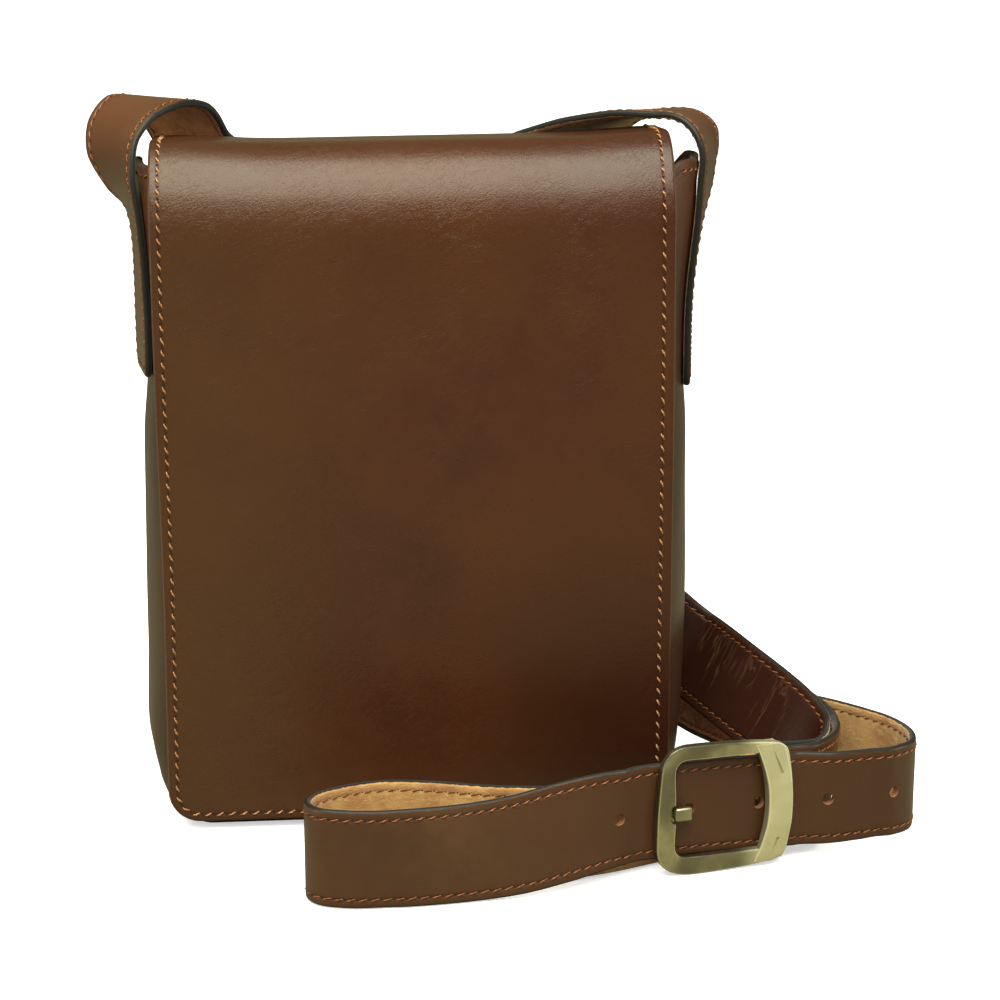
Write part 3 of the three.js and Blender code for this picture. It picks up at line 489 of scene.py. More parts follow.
def makeStitchTree():
    tree = bpy.data.node_groups.new("threadStitches", "GeometryNodeTree")
    face = tree.interface
    face.new_socket(name="Geometry", in_out="INPUT", socket_type="NodeSocketGeometry")
    for label in ("Stitch Length", "Thread Thickness", "Slant", "Twist", "Pitch"):
        face.new_socket(name=label, in_out="INPUT", socket_type="NodeSocketFloat")
    for label in ("Thread", "Needle Hole Shade"):
        face.new_socket(name=label, in_out="INPUT", socket_type="NodeSocketMaterial")
    face.new_socket(name="Geometry", in_out="OUTPUT", socket_type="NodeSocketGeometry")
    given = node(tree, "NodeGroupInput").outputs

    def point(x, z):
        return node(tree, "ShaderNodeCombineXYZ", {0: x, 2: z}).outputs[0]

    def threadShare(share):
        return calc(tree, "MULTIPLY", given["Thread Thickness"], share)

    halfLength = calc(tree, "MULTIPLY", given["Stitch Length"], 0.5)
    sunk = threadShare(-0.62)
    bow = node(tree, "GeometryNodeCurveQuadraticBezier", {
        "Resolution": 7, "Start": point(calc(tree, "MULTIPLY", halfLength, -1.0), sunk),
        "Middle": point(0.0, threadShare(1.3)), "End": point(halfLength, sunk)})
    share = node(tree, "GeometryNodeSplineParameter").outputs["Factor"]
    tilt = node(tree, "GeometryNodeSetCurveTilt", {
        "Curve": bow.outputs[0], "Tilt": calc(tree, "MULTIPLY", share, given["Twist"])})
    ring = node(tree, "GeometryNodeCurvePrimitiveCircle", {"Resolution": 6, "Radius": threadShare(0.5)})
    flat = node(tree, "GeometryNodeTransform", {"Geometry": ring.outputs[0], "Scale": (1.0, 0.62, 1.0)})
    strand = node(tree, "GeometryNodeCurveToMesh", {
        "Curve": tilt.outputs[0], "Profile Curve": flat.outputs[0]})

    def way(label):
        made = node(tree, "GeometryNodeInputNamedAttribute", {"Name": label}, data_type="FLOAT_VECTOR")
        return made.outputs["Attribute"]

    facing = node(tree, "FunctionNodeAlignRotationToVector", {"Vector": way("travel")}, axis="X")
    upright = node(tree, "FunctionNodeAlignRotationToVector", {
        "Rotation": facing.outputs[0], "Vector": way("out")}, axis="Z", pivot_axis="X")
    wobble = node(tree, "FunctionNodeRandomValue", {"Min": -0.05, "Max": 0.05, "Seed": 7}, data_type="FLOAT")
    spin = node(tree, "ShaderNodeCombineXYZ", {2: calc(tree, "ADD", given["Slant"], wobble.outputs[1])})
    angle = node(tree, "FunctionNodeEulerToRotation", {0: spin.outputs[0]})
    slanted = node(tree, "FunctionNodeRotateRotation", {
        "Rotation": upright.outputs[0], "Rotate By": angle.outputs[0]}, rotation_space="LOCAL")

    def placed(points, shape, rotation, material):
        spread = node(tree, "GeometryNodeInstanceOnPoints", {
            "Points": points, "Instance": shape, "Rotation": rotation})
        whole = node(tree, "GeometryNodeRealizeInstances", {0: spread.outputs[0]})
        finish = node(tree, "GeometryNodeSetMaterial", {"Geometry": whole.outputs[0], "Material": material})
        return finish.outputs[0]

    # needle holes: flattened dark pits between the stitches, painted shade where the thread enters the hide
    pit = node(tree, "GeometryNodeMeshIcoSphere", {"Radius": threadShare(0.48), "Subdivisions": 1})
    pressed = node(tree, "GeometryNodeTransform", {"Geometry": pit.outputs[0], "Scale": (1.0, 0.85, 0.28)})
    step = node(tree, "ShaderNodeVectorMath", {
        0: way("travel"), "Scale": calc(tree, "MULTIPLY", given["Pitch"], 0.5)}, operation="SCALE")
    between = node(tree, "GeometryNodeSetPosition", {
        "Geometry": given["Geometry"], "Offset": step.outputs[0]})
    both = node(tree, "GeometryNodeJoinGeometry")
    threads = placed(given["Geometry"], strand.outputs[0], slanted.outputs[0], given["Thread"])
    tree.links.new(threads, both.inputs[0])
    holes = placed(between.outputs[0], pressed.outputs[0], upright.outputs[0], given["Needle Hole Shade"])
    tree.links.new(holes, both.inputs[0])
    soft = node(tree, "GeometryNodeSetShadeSmooth", {"Geometry": both.outputs[0]})
    node(tree, "NodeGroupOutput", {"Geometry": soft.outputs[0]})
    return tree


stitchTree = makeStitchTree()
needleHoleShade = dullMaterial("needleHoleShade", tint(18, 10, 7), tint(36, 20, 13), 1500.0, 2.0)
flapThread = threadMaterial("flapThread", {
    "dark": tint(110, 66, 38), "light": tint(198, 148, 104), "worn": tint(162, 112, 74)})
strapThread = threadMaterial("strapThread", {
    "dark": tint(94, 50, 24), "light": tint(156, 90, 46), "worn": tint(128, 74, 40)})
dullThread = threadMaterial("dullThread", {
    "dark": tint(86, 44, 22), "light": tint(144, 84, 46), "worn": tint(120, 74, 44)})


def sewnRow(points, outs, pitch):  # evenly spaced stitch middles on a path, with the ways along and out
    run = runAlong(points)
    count = max(2, int(run[-1] / pitch))
    at = (np.arange(count) + 0.5) * run[-1] / count

    def read(values, where):
        return np.stack([np.interp(where, run, values[:, k]) for k in range(3)], -1)

    travel = unit(read(points, at + 0.2 * mm) - read(points, at - 0.2 * mm))
    return read(points, at), travel, unit(read(outs, at))


def sew(name, rows, thread, settings=stitchSettings):
    middles, travels, outs = (np.concatenate(part) for part in zip(*rows))
    mesh = bpy.data.meshes.new(name)
    mesh.from_pydata(middles.tolist(), [], [])
    for label, values in (("travel", travels), ("out", outs)):
        attribute = mesh.attributes.new(label, "FLOAT_VECTOR", "POINT")
        attribute.data.foreach_set("vector", values.astype(np.float32).reshape(-1))
    made = addObject(name, mesh)
    modifier = made.modifiers.new("stitches", "NODES")
    modifier.node_group = stitchTree
    items = stitchTree.interface.items_tree
    sockets = {item.name: item.identifier for item in items if item.in_out == "INPUT"}
    values = {
        "Stitch Length": settings["length"] * mm, "Thread Thickness": settings["thickness"] * mm,
        "Slant": settings["slant"], "Twist": settings["twist"], "Pitch": settings["pitch"] * mm,
        "Thread": thread, "Needle Hole Shade": needleHoleShade}
    for label, value in values.items():
        modifier[sockets[label]] = value
    bakeModifiers(made)
    return made


# flap and back: one hide from the back's hem over the crest to the flap's hem

hide = {
    "flapFace": -41, "backFace": 35, "crest": 275.5, "frontCrest": 27, "backCrest": 12,
    "hem": 3.6, "backHem": 1.5, "leather": 2.4, "flapCorner": 13, "backCorner": 16,
    "pillow": 1.6, "wave": 0.28, "ripple": 0.16, "slackFrom": 225, "press": 0.16, "pressSpread": 0.8,
    "leftInset": 3.7, "rightInset": 4.7, "hemInset": 3.1, "backInset": 4.4,
    "spread": [(0, 104, 107), (0.35, 106, 109.5), (0.42, 103.4, 105.2), (0.47, 100.9, 101.9),
               (0.56, 101.1, 101), (0.7, 101.1, 101.2), (0.84, 100.4, 101), (1, 101.4, 100.3)],
    "dip": [(-104, 2.6), (-88, 2.3), (-58, 4), (35, 3.1), (68, 2.7), (90, 0.8), (104, 0.1)],
    # the flap's greener left is a painted floor reflection, its red lower right and dark crest are painted
    # shade
    "look": {"middle": tint(68, 35, 17), "dark": tint(58, 27, 13), "warm": tint(72, 38, 16), "cloud": 11.0,
             "oliveFloorReflection": tint(71, 46, 23), "red": tint(34, 13, 5), "crest": tint(44, 22, 12),
             "pores": 1000.0, "crease": 0.5, "line": tint(104, 72, 48), "lineShare": 0.12,
             "edge": tint(80, 54, 38), "edgeReach": 0.3, "edgeRough": 0.0, "rough": 0.23, "roughSpread": 0.1,
             "bump": 0.000095, "specular": 0.42, "coat": 0.12, "coatRough": 0.2},
    "flesh": {"edgeReach": 0.4, "middle": tint(140, 96, 62), "dark": tint(104, 68, 42),
              "light": tint(172, 128, 88)},
}


def hideSide(settings):  # the hide seen from the side, finely sampled: depth, height and the way along
    back, face, crest = settings["backFace"], settings["flapFace"], settings["crest"]
    front, rear = settings["frontCrest"], settings["backCrest"]
    share = np.linspace(0, 1, 200)[:, None]

    def line(a, b):
        return np.array(a) * (1 - share) + np.array(b) * share

    def bend(*controls):
        degree = len(controls) - 1
        return sum(math.comb(degree, k) * share ** k * (1 - share) ** (degree - k) * np.array(c)
                   for k, c in enumerate(controls))

    parts = [
        line((back, settings["backHem"]), (back, crest - 1 - rear)),
        bend((back, crest - 1 - rear), (back, crest - 1), (back - rear, crest - 1)),
        line((back - rear, crest - 1), (face + front + 2, crest)),
        bend((face + front + 2, crest), (face + 0.42 * front, crest), (face, crest - 0.6 * front),
             (face, crest - 1.35 * front)),
        line((face, crest - 1.35 * front), (face, settings["hem"])),
    ]
    path = np.concatenate([part[k > 0:] for k, part in enumerate(parts)])
    return path, runAlong(path)


hidePath, hideRun = hideSide(hide)
hideLength = hideRun[-1]


def hideHalves(distance):  # how far the hide reaches to the left and right, before its corners are rounded
    share = distance / hideLength
    return softReading(hide["spread"], share, 1, 0.025), softReading(hide["spread"], share, 2, 0.025)


def hidePoints(x, distance):  # points of the hide's grain side, in millimetres
    depth = np.interp(distance, hideRun, hidePath[:, 0])
    height = np.interp(distance, hideRun, hidePath[:, 1])
    left, right = hideHalves(distance)
    column = np.where(x < 0, x / left, x / right)
    onFlap = ease(0.0, 1.0, (distance - hideLength * 0.5) / 40)
    swell = hide["pillow"] * np.sin(np.pi * np.clip(height / hide["crest"], 0, 1)) * onFlap
    slack = ease(hide["slackFrom"], hide["crest"], height) * softReading(hide["dip"], x, 1, 9)
    wave = hide["wave"] * np.sin(x / 23 + distance / 61) * np.sin(distance / 37 - x / 90 + 1)
    wave = wave + hide["ripple"] * np.sin(x / 9.5 - distance / 28) * np.sin(distance / 15 + x / 41)
    flatness = ease(0, 12, np.minimum(distance, hideLength - distance)) * np.clip(1.3 - column ** 4, 0, 1)
    depth = depth - (swell * (1 - column * column) + wave * flatness * onFlap)
    depth = depth + 0.5 * wave * flatness * (1 - onFlap)
    return np.stack([x, depth, height - slack], -1)


def roundedWay(leftGap, rightGap, startGap, endGap, startCorner, endCorner):  # from the rounded outline in
    side = np.minimum(leftGap, rightGap)
    way = np.minimum(side, np.minimum(startGap, endGap))
    for gap, corner in ((startGap, startCorner), (endGap, endCorner)):
        inCorner = (side < corner) & (gap < corner)
        fromArc = corner - np.hypot(corner - side, corner - gap)
        way = np.where(inCorner, np.minimum(way, fromArc), way)
    way = np.maximum(way, 0)
    way[[0, -1], :] = 0
    way[:, [0, -1]] = 0
    return way


def hideInset(x, way, left, right):  # how far in from the edge the sewn line lies, beside any point
    onFlap = way > hideLength / 2
    sideInset = np.where(x < 0, hide["leftInset"], hide["rightInset"])
    endInset = np.where(onFlap, hide["hemInset"], hide["backInset"])
    corner = np.where(onFlap, hide["flapCorner"], hide["backCorner"])
    sideGap = np.minimum(x + left, right - x)
    endGap = np.minimum(way, hideLength - way)
    toSide = np.maximum(corner - sideGap, 0) + 1e-6
    toEnd = np.maximum(corner - endGap, 0)
    return sideInset + (endInset - sideInset) * np.arctan2(toEnd, toSide) / (np.pi / 2)


rimSteps = np.array([0, 0.12, 0.4, 0.8, 1.3, 2.0])


def borderPlaces(length, step, extra=()):  # places from 0 to length, close together at both ends
    near = np.concatenate([rimSteps, extra])
    inner = np.linspace(near[-1], length - near[-1], max(2, int((length - 2 * near[-1]) / step) + 1))[1:-1]
    return np.concatenate([near, inner, length - near[::-1]])


def buildHide():
    flapCorner, backCorner, half = hide["flapCorner"], hide["backCorner"], hide["leather"] / 2
    distance = borderPlaces(hideLength, 3.0, (2.6, 3.2, 3.9, 4.7, 6.5, 8.5, 11, 13.5, 16))
    shares = borderPlaces(200.0, 4.5, (2.8, 3.3, 3.8, 4.3, 4.9, 5.6, 6.5, 8.5)) / 100 - 1
    left, right = hideHalves(distance)
    loss = cornerLoss(distance, backCorner) + cornerLoss(hideLength - distance, flapCorner)
    column = shares[None, :]
    x = np.where(column < 0, column * (left - loss)[:, None], column * (right - loss)[:, None])
    way = np.broadcast_to(distance[:, None], x.shape)
    grain = hidePoints(x, way)
    normal = surfaceNormals(grain)
    if normal[len(distance) - 40, len(shares) // 2, 1] > 0:  # a row on the flap faces the front
        normal = -normal
    left, right = left[:, None], right[:, None]
    inward = roundedWay(x + left, right - x, way, hideLength - way, backCorner, flapCorner)
    fromSeam = inward - hideInset(x, way, left, right)
    press = hide["press"] * np.exp(-(fromSeam / hide["pressSpread"]) ** 2)
    materials = [grainMaterial("flapLeather", hide["look"]), fleshMaterial("flapFlesh", hide["flesh"])]
    made = buildSheet("flapAndBack", (grain - normal * half) * mm, normal, inward * mm, fromSeam * mm,
                      np.stack([x, way], -1) * mm, half * mm, [(1.0, 1.15 * mm)], materials, press * mm)
    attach(made, "root")
    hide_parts("flap_and_back")


def hideStitchPath():  # the sewn line all round the hide, a little way in from its edge
    leftInset, rightInset = hide["leftInset"], hide["rightInset"]
    hemInset, backInset = hide["hemInset"], hide["backInset"]
    flapCorner, backCorner = hide["flapCorner"], hide["backCorner"]
    span = np.linspace(backCorner, hideLength - flapCorner, 500)
    left, right = hideHalves(span)
    turn = np.linspace(0, np.pi / 2, 12)[1:-1]

    def bendRound(centreX, centreWay, reachX, reachWay):  # from the side round to the hem
        return np.stack([centreX + reachX * np.cos(turn), centreWay + reachWay * np.sin(turn)], -1)

    flapLow = hideLength - flapCorner
    hem = np.linspace(-left[-1] + flapCorner, right[-1] - flapCorner, 100)
    backHem = np.linspace(right[0] - backCorner, -left[0] + backCorner, 100)
    outline = np.concatenate([
        np.stack([-left + leftInset, span], -1),
        bendRound(-left[-1] + flapCorner, flapLow, leftInset - flapCorner, flapCorner - hemInset),
        np.stack([hem, np.full(100, hideLength - hemInset)], -1),
        bendRound(right[-1] - flapCorner, flapLow, flapCorner - rightInset, flapCorner - hemInset)[::-1],
        np.stack([right - rightInset, span], -1)[::-1],
        bendRound(right[0] - backCorner, backCorner, backCorner - rightInset, backInset - backCorner),
        np.stack([backHem, np.full(100, backInset)], -1),
        bendRound(-left[0] + backCorner, backCorner, leftInset - backCorner, backInset - backCorner)[::-1],
    ])
    return np.concatenate([outline, outline[:1]])


def hideFrames(outline):
    x, way = outline[:, 0], outline[:, 1]
    at = hidePoints(x, way)
    across = hidePoints(x + 0.3, way) - hidePoints(x - 0.3, way)
    along = hidePoints(x, np.minimum(way + 0.3, hideLength)) - hidePoints(x, np.maximum(way - 0.3, 0))
    out = unit(np.cross(across, along))
    return at, out


def sewHide():
    at, out = hideFrames(hideStitchPath())
    flapSide = at[:, 1] < -30
    if out[flapSide][:, 1].mean() > 0:
        out = -out
    row = sewnRow((at + out * 0.02) * mm, out, stitchSettings["pitch"] * mm)
    made = sew("flapStitches", [row], flapThread)
    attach(made, "root")


buildHide()
sewHide()
print("flap and back made, sewn line", round(hideLength), "mm long on each side")


# front panel, hidden by the flap

panel = {"face": -35, "bottom": 1.4, "top": 252, "half": 99.5, "leather": 2.2, "corner": 16}


def buildFrontPanel():
    height = panel["top"] - panel["bottom"]
    rise = borderPlaces(height, 8.0, (3, 4.5, 6.5, 9, 12, 16))
    shares = borderPlaces(200.0, 8.0, (3.5, 5, 8)) / 100 - 1
    reach = panel["half"] - cornerLoss(rise, panel["corner"])
    x = shares[None, :] * reach[:, None]
    z = np.broadcast_to(rise[:, None], x.shape)
    y = panel["face"] + 0.12 * np.sin(x / 31) * np.sin(z / 43)
    grain = np.stack([x, y, z + panel["bottom"]], -1)
    normal = np.broadcast_to(np.array([0.0, -1.0, 0.0]), grain.shape)
    inward = roundedWay(x + panel["half"], panel["half"] - x, z, height - z, panel["corner"], 0.01)
    half = panel["leather"] / 2
    made = buildSheet("frontPanel", (grain - normal * half) * mm, normal, inward * mm, (inward - 4) * mm,
                      np.stack([x, z], -1) * mm, half * mm, [(1.0, 1.05 * mm)],
                      [bpy.data.materials["flapLeather"], bpy.data.materials["flapFlesh"]])
    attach(made, "root")
    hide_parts("front_panel")


buildFrontPanel()
print("front panel made")


# gusset: a U-shaped strip that bellies out beside the flap

side = {
    "half": 98.7, "corner": 15, "top": 264, "front": -32.5, "back": 32.3, "leather": 2, "flange": 7,
    "ripple": 0.05, "frontCut": 6, "frontCutDepth": 7, "backCut": 8, "backCutDepth": 10, "topCutReach": 44,
    "hemInset": 4.2,
    "left": [(0, 8, 2.2), (10, 8.3, 3.4), (18, 8.3, 5.2), (28, 8.3, 7.6), (40, 8.3, 7.4), (60, 8.3, 6.4),
             (120, 8.3, 5.4), (156, 8.3, 4.6), (176, 8.3, 2), (208, 8.3, 2.2), (236, 8.3, 3.1),
             (250, 8.4, 4.5), (264, 8.6, 4)],
    "right": [(0, 11, 3), (10, 11.4, 4.2), (18, 11.6, 5.3), (28, 11.6, 6.8), (40, 11.6, 7.6), (60, 11.6, 8),
              (120, 11.6, 8), (156, 11.4, 8.2), (176, 10.4, 6.9), (208, 10.4, 7.9), (236, 11, 10.3),
              (250, 11.5, 11.4), (264, 12, 11.1)],
    # the gusset's high colour is painted light on its tops
    "look": {"middle": tint(58, 36, 22), "dark": tint(42, 24, 15), "warm": tint(60, 36, 22), "cloud": 14.0,
             "high": tint(86, 46, 24), "pores": 1000.0, "crease": 0.5, "line": tint(104, 76, 54),
             "lineShare": 0.12, "edge": tint(56, 38, 26), "edgeReach": 0.3, "edgeRough": 0.05,
             "rough": 0.34, "roughSpread": 0.12, "bump": 0.00008, "specular": 0.35,
             "coat": 0.2, "coatRough": 0.3},
}


def gussetPath():
    half, corner, top = side["half"], side["corner"], side["top"]
    quarter = np.linspace(0, np.pi / 2, 60)[1:]

    def lowCorner(centre, start):
        angle = start + quarter
        return np.stack([centre + corner * np.cos(angle), corner + corner * np.sin(angle)], -1)

    path = np.concatenate([
        [[-half, top], [-half, corner]], lowCorner(corner - half, np.pi),
        [[half - corner, 0.0]], lowCorner(half - corner, 1.5 * np.pi), [[half, top]],
    ])
    return path, runAlong(path)


gussetLine, gussetRun = gussetPath()


def gussetRow(distance):  # the strip's spine and outward way at a distance along it
    x = np.interp(distance, gussetRun, gussetLine[:, 0])
    z = np.interp(distance, gussetRun, gussetLine[:, 1])
    ahead = np.minimum(distance + 0.4, gussetRun[-1])
    behind = np.maximum(distance - 0.4, 0)
    travelX = np.interp(ahead, gussetRun, gussetLine[:, 0]) - np.interp(behind, gussetRun, gussetLine[:, 0])
    travelZ = np.interp(ahead, gussetRun, gussetLine[:, 1]) - np.interp(behind, gussetRun, gussetLine[:, 1])
    size = np.hypot(travelX, travelZ)
    return x, z, travelZ / size, -travelX / size


# across is -1 to 0 on the front flange, 0 to 1 over the strip and 1 to 2 on the back flange
def gussetPoints(distance, across):
    x, z, outX, outZ = gussetRow(distance)
    flare = np.where(x < 0, softReading(side["left"], z, 1, 8), softReading(side["right"], z, 1, 8))
    belly = np.where(x < 0, softReading(side["left"], z, 2, 8), softReading(side["right"], z, 2, 8))
    over = np.clip(across, 0, 1)
    belly = belly * (1 + side["ripple"] * np.sin(z / 19) * np.sin(9 * over))
    rise = flare * over + belly * (1 - np.abs(2 * over - 1) ** 3)
    floorRoom = np.where(outZ < -1e-6, side["corner"] * (1 / np.maximum(-outZ, 1e-6) - 1), 1e6)
    rise = np.minimum(rise, 0.9 * floorRoom)
    inFront = np.clip(-across, 0, 1)
    behind = np.clip(across - 1, 0, 1)
    reach = rise - side["flange"] * np.maximum(inFront, behind)
    depth = side["front"] + over * (side["back"] - side["front"])
    nearFront = np.maximum(0, side["front"] + side["frontCutDepth"] - depth) / side["frontCutDepth"]
    nearBack = np.maximum(0, depth - side["back"] + side["backCutDepth"]) / side["backCutDepth"]
    nearTop = ease(side["top"] - side["topCutReach"], side["top"], z)
    cut = nearTop * (side["frontCut"] * nearFront ** 2 + side["backCut"] * nearBack ** 2)
    return np.stack([x + outX * reach, depth, z + outZ * reach - cut], -1)


def buildGusset():
    length = gussetRun[-1]
    distance = borderPlaces(length, 4.0, (3.0, 4.2, 5.4))
    corners = [length * 0.5 + offset for offset in np.linspace(-110, 110, 90)]
    distance = np.unique(np.round(np.concatenate([distance, corners]), 2))
    across = np.concatenate([[-1, -0.7, -0.36, -0.12], np.linspace(0, 1, 33), [1.12, 1.36, 1.7, 2]])
    way = np.broadcast_to(distance[:, None], (len(distance), len(across)))
    over = np.broadcast_to(across[None, :], way.shape)
    grain = gussetPoints(way, over)
    normal = surfaceNormals(grain)
    if normal[20, len(across) // 2, 0] > 0:
        normal = -normal
    inward = np.minimum(way, length - way)
    inward[[0, -1], :] = 0
    rim = inward.copy()
    rim[:, [0, -1]] = 0
    half = side["leather"] / 2
    doubled = 1 + 0.55 * ease(9.5, 8.5, inward) * ((over > 0.1) & (over < 0.9))  # the turned-in hem
    depthLay = np.cumsum(np.concatenate([[0], np.diff(across)])) * 60
    lay = np.stack([np.broadcast_to(depthLay[None, :], way.shape), way], -1) * mm
    made = buildSheet("gusset", (grain - normal * half) * mm, normal, np.maximum(rim, 0) * mm,
                      (inward - side["hemInset"]) * mm, lay, half * mm * np.where(rim > 0, doubled, 1),
                      [(1.0, 0.95 * mm)],
                      [grainMaterial("gussetLeather", side["look"]), bpy.data.materials["flapFlesh"]])
    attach(made, "root")
    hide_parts("gusset")


def sewGusset():
    length = gussetRun[-1]
    rows = []
    across = np.linspace(0.08, 0.92, 80)
    for distance in (side["hemInset"], length - side["hemInset"]):
        way = np.full_like(across, distance)
        at = gussetPoints(way, across)
        along = gussetPoints(way + 0.3, across) - gussetPoints(way - 0.3, across)
        out = unit(np.cross(np.gradient(at, axis=0), along))
        if out[40, 0] * at[40, 0] < 0:
            out = -out
        rows.append(sewnRow((at + out * 0.5) * mm, out, stitchSettings["pitch"] * mm))
    made = sew("gussetStitches", rows, dullThread)
    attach(made, "root")


buildGusset()
sewGusset()
print("gusset made")


# straps: each follows rows of its middle (x, y, z) with the way across it (wx, wy, wz) and how far it leans

strap = {
    "width": 38, "leather": 3, "tabCorner": 6, "tipCorner": 17, "seamInset": 3.6, "tabLength": 92,
    "buckleTurn": 13, "buckleHeart": (112, -98.8, 25), "heelAlong": 22, "heelOut": -7.8, "heelTurn": 3.0,
    "press": 0.2, "pressSpread": 0.6,
    "holeDiameter": 4.6, "holePitch": 28.8, "prongHole": -13.6, "holes": (-1, 0, 1, 2, 3),
    "look": {"middle": tint(84, 57, 35), "dark": tint(66, 40, 23), "warm": tint(80, 49, 28), "cloud": 11.0,
             "pores": 1500.0, "crease": 0.1, "line": tint(104, 76, 54), "lineShare": 0.1,
             "edge": tint(23, 19, 13), "edgeReach": 0.6, "edgeRough": 0.25,
             # the strap's darkest colour is painted shade for the stretch that comes round from behind the
             # bag
             "paintedShade": tint(44, 20, 13), "fold": tint(118, 88, 66), "rough": 0.3, "roughSpread": 0.1,
             "bump": 0.00006, "specular": 0.35, "coat": 0.25, "coatRough": 0.25},
    "paleFlesh": {"edgeReach": 0.4, "middle": tint(184, 143, 88), "dark": tint(160, 114, 68),
                  "light": tint(202, 167, 114)},
    "brownFlesh": {"edgeReach": 1.7, "middle": tint(176, 112, 66), "dark": tint(130, 76, 42),
                   "light": tint(205, 150, 96)},
}

longBehind = [
    (112.4, 0, 172.5, -0.165, -0.986, 0), (113, 0, 208, -0.17, -0.985, 0), (116.3, 0, 236, -0.2, -0.98, 0),
    (119.1, 0.3, 254, -0.28, -0.96, 0), (119.8, 1, 265.5, -0.29, -0.96, 0),
    (116.8, 5, 274, -0.34, -0.94, 0), (110.6, 11.3, 278.7, -0.42, -0.91, 0),
    (100, 19, 279.5, -0.5, -0.86, 0.03), (88, 27, 277.6, -0.52, -0.84, 0.1),
    (75, 36, 271, -0.56, -0.76, 0.33), (60, 45.5, 261, -0.58, -0.57, 0.58),
    (41, 52, 248, -0.52, -0.25, 0.82), (15, 54, 232, -0.5, 0, 0.87),
    (-25, 54, 208.8, -0.5, 0, 0.87), (-40, 54, 200, -0.3, 0, 0.95, 0.5),
    (-50, 54, 194, 0, 0, 1, 1), (-57.1, 51.9, 189.7, 0, 0, 1, 1), (-59.2, 46.8, 186.4, 0, 0, 1, 1),
    (-57.1, 41.7, 183, 0, 0, 1, 1), (-50, 39.6, 178.6, 0, 0, 1, 1), (-40, 39.6, 171.4, 0.35, 0, 0.94, 0.5),
    (-20, 39.6, 156.2, 0.61, 0, 0.79), (60, 39.8, 93.5, 0.61, 0, 0.79), (90, 40, 70.5, 0.6, 0, 0.8),
]
longTurn = [
    (104, 39.8, 60.5, 0.6, 0, 0.8), (114.25, 39, 51.65, 0.6, 0, 0.8), (121.1, 35, 46.75, 0.57, 0, 0.82),
    (126.15, 22, 44.95, 0.53, 0, 0.85), (132.15, 3.3, 42.9, 0.5, 0, 0.87),
    (151.3, -31.5, 31.85, 0.38, 0.02, 0.92), (158.3, -48, 24.6, 0.2, 0, 0.98),
    (158, -61, 22.6, 0.1, 0, 1), (153, -70.5, 21.6, 0.03, 0, 1), (144, -76, 21.4, 0, 0, 1),
]
loopHeight = 19.15
flatLoop = [(45, -107), (22, -104), (0, -97.2), (-18, -95), (-33, -99.5), (-43, -106.8), (-46, -114.5),
            (-42.6, -122), (-32, -126.4), (-12.4, -127.2)]
longLoop = [
    (65, -102.5, 19.2, 0, 0, 1), *[(x, y, loopHeight, 0, 0, 1) for x, y in flatLoop],
    (14, -123.6, loopHeight, 0, 0.04, 1), (32, -120, 20.2, 0, 0.12, 0.99), (48, -115.5, 22.3, 0, 0.17, 0.98),
    (63.5, -110.2, 24, 0, 0.08, 0.99), (73, -106.8, 24.4, 0, 0, 1),
]
longEnd = [
    (156, -90.4, 23.4, 0, -0.05, 1), (172, -86, 22.9, 0, -0.08, 1), (183, -81.8, 22.4, 0, -0.08, 1),
    (190.5, -75, 21.9, 0, -0.06, 1), (194, -65.5, 21.4, 0, -0.02, 1), (194.2, -55, 21, 0, 0, 1),
    (190.6, -41.5, 20.6, 0, 0, 1), (183.6, -29.6, 20.3, 0, 0, 1), (172, -13.5, 19.7, 0, 0, 1),
    (153, 6, 19.2, 0, 0, 1),
]
shortRun = [
    (-106.9, 0, 180, 0.15, -0.99, 0), (-106.9, 0, 212, 0.15, -0.99, 0), (-107.6, 0, 234, 0.14, -0.99, 0.01),
    (-109.4, 0.2, 246, 0.17, -0.98, 0.06), (-113.6, 1, 256.5, 0.34, -0.92, 0.14),
    (-115.8, 4, 269, 0.55, -0.82, 0.12), (-112.5, 10.5, 279.6, 0.72, -0.69, 0.06),
    (-105, 19.5, 285.6, 0.83, -0.56, -0.03), (-96.6, 31, 284.6, 0.88, -0.47, -0.04),
    (-92.4, 41, 279, 0.87, -0.48, 0.03), (-88, 49, 270, 0.86, -0.5, 0.04),
    (-80.5, 54.8, 256, 0.88, -0.26, 0.38), (-66, 58, 237, 0.8, -0.05, 0.6), (-40, 59.5, 206, 0.75, 0, 0.66),
    (20, 59.5, 139, 0.73, 0, 0.68), (60, 57, 95, 0.73, 0, 0.68), (85, 51.5, 63, 0.68, 0, 0.73),
    (104, 47.5, 43.5, 0.62, 0, 0.78), (117, 43, 33.5, 0.6, 0, 0.8), (125.5, 37, 29, 0.57, 0, 0.82),
    (131, 24, 28.8, 0.52, 0, 0.85), (137, 6.5, 30.4, 0.46, 0, 0.89), (155.6, -28.6, 28, 0.38, 0.03, 0.92),
    (163, -47, 24, 0.2, 0, 0.98), (162.4, -62.2, 23.6, 0.1, 0, 1), (157.2, -75, 24.2, 0.04, 0, 1),
]

buckleTurn = math.radians(strap["buckleTurn"])
buckleAlong = np.array([math.cos(buckleTurn), math.sin(buckleTurn), 0])
buckleOut = np.array([math.sin(buckleTurn), -math.cos(buckleTurn), 0])


def besideBuckle(along, out):  # millimetres along the strap and out of its face from the buckle's heart
    return np.array(strap["buckleHeart"]) + along * buckleAlong + out * buckleOut


def buckleRow(along, out):
    return (*besideBuckle(along, out), 0, 0, 1)


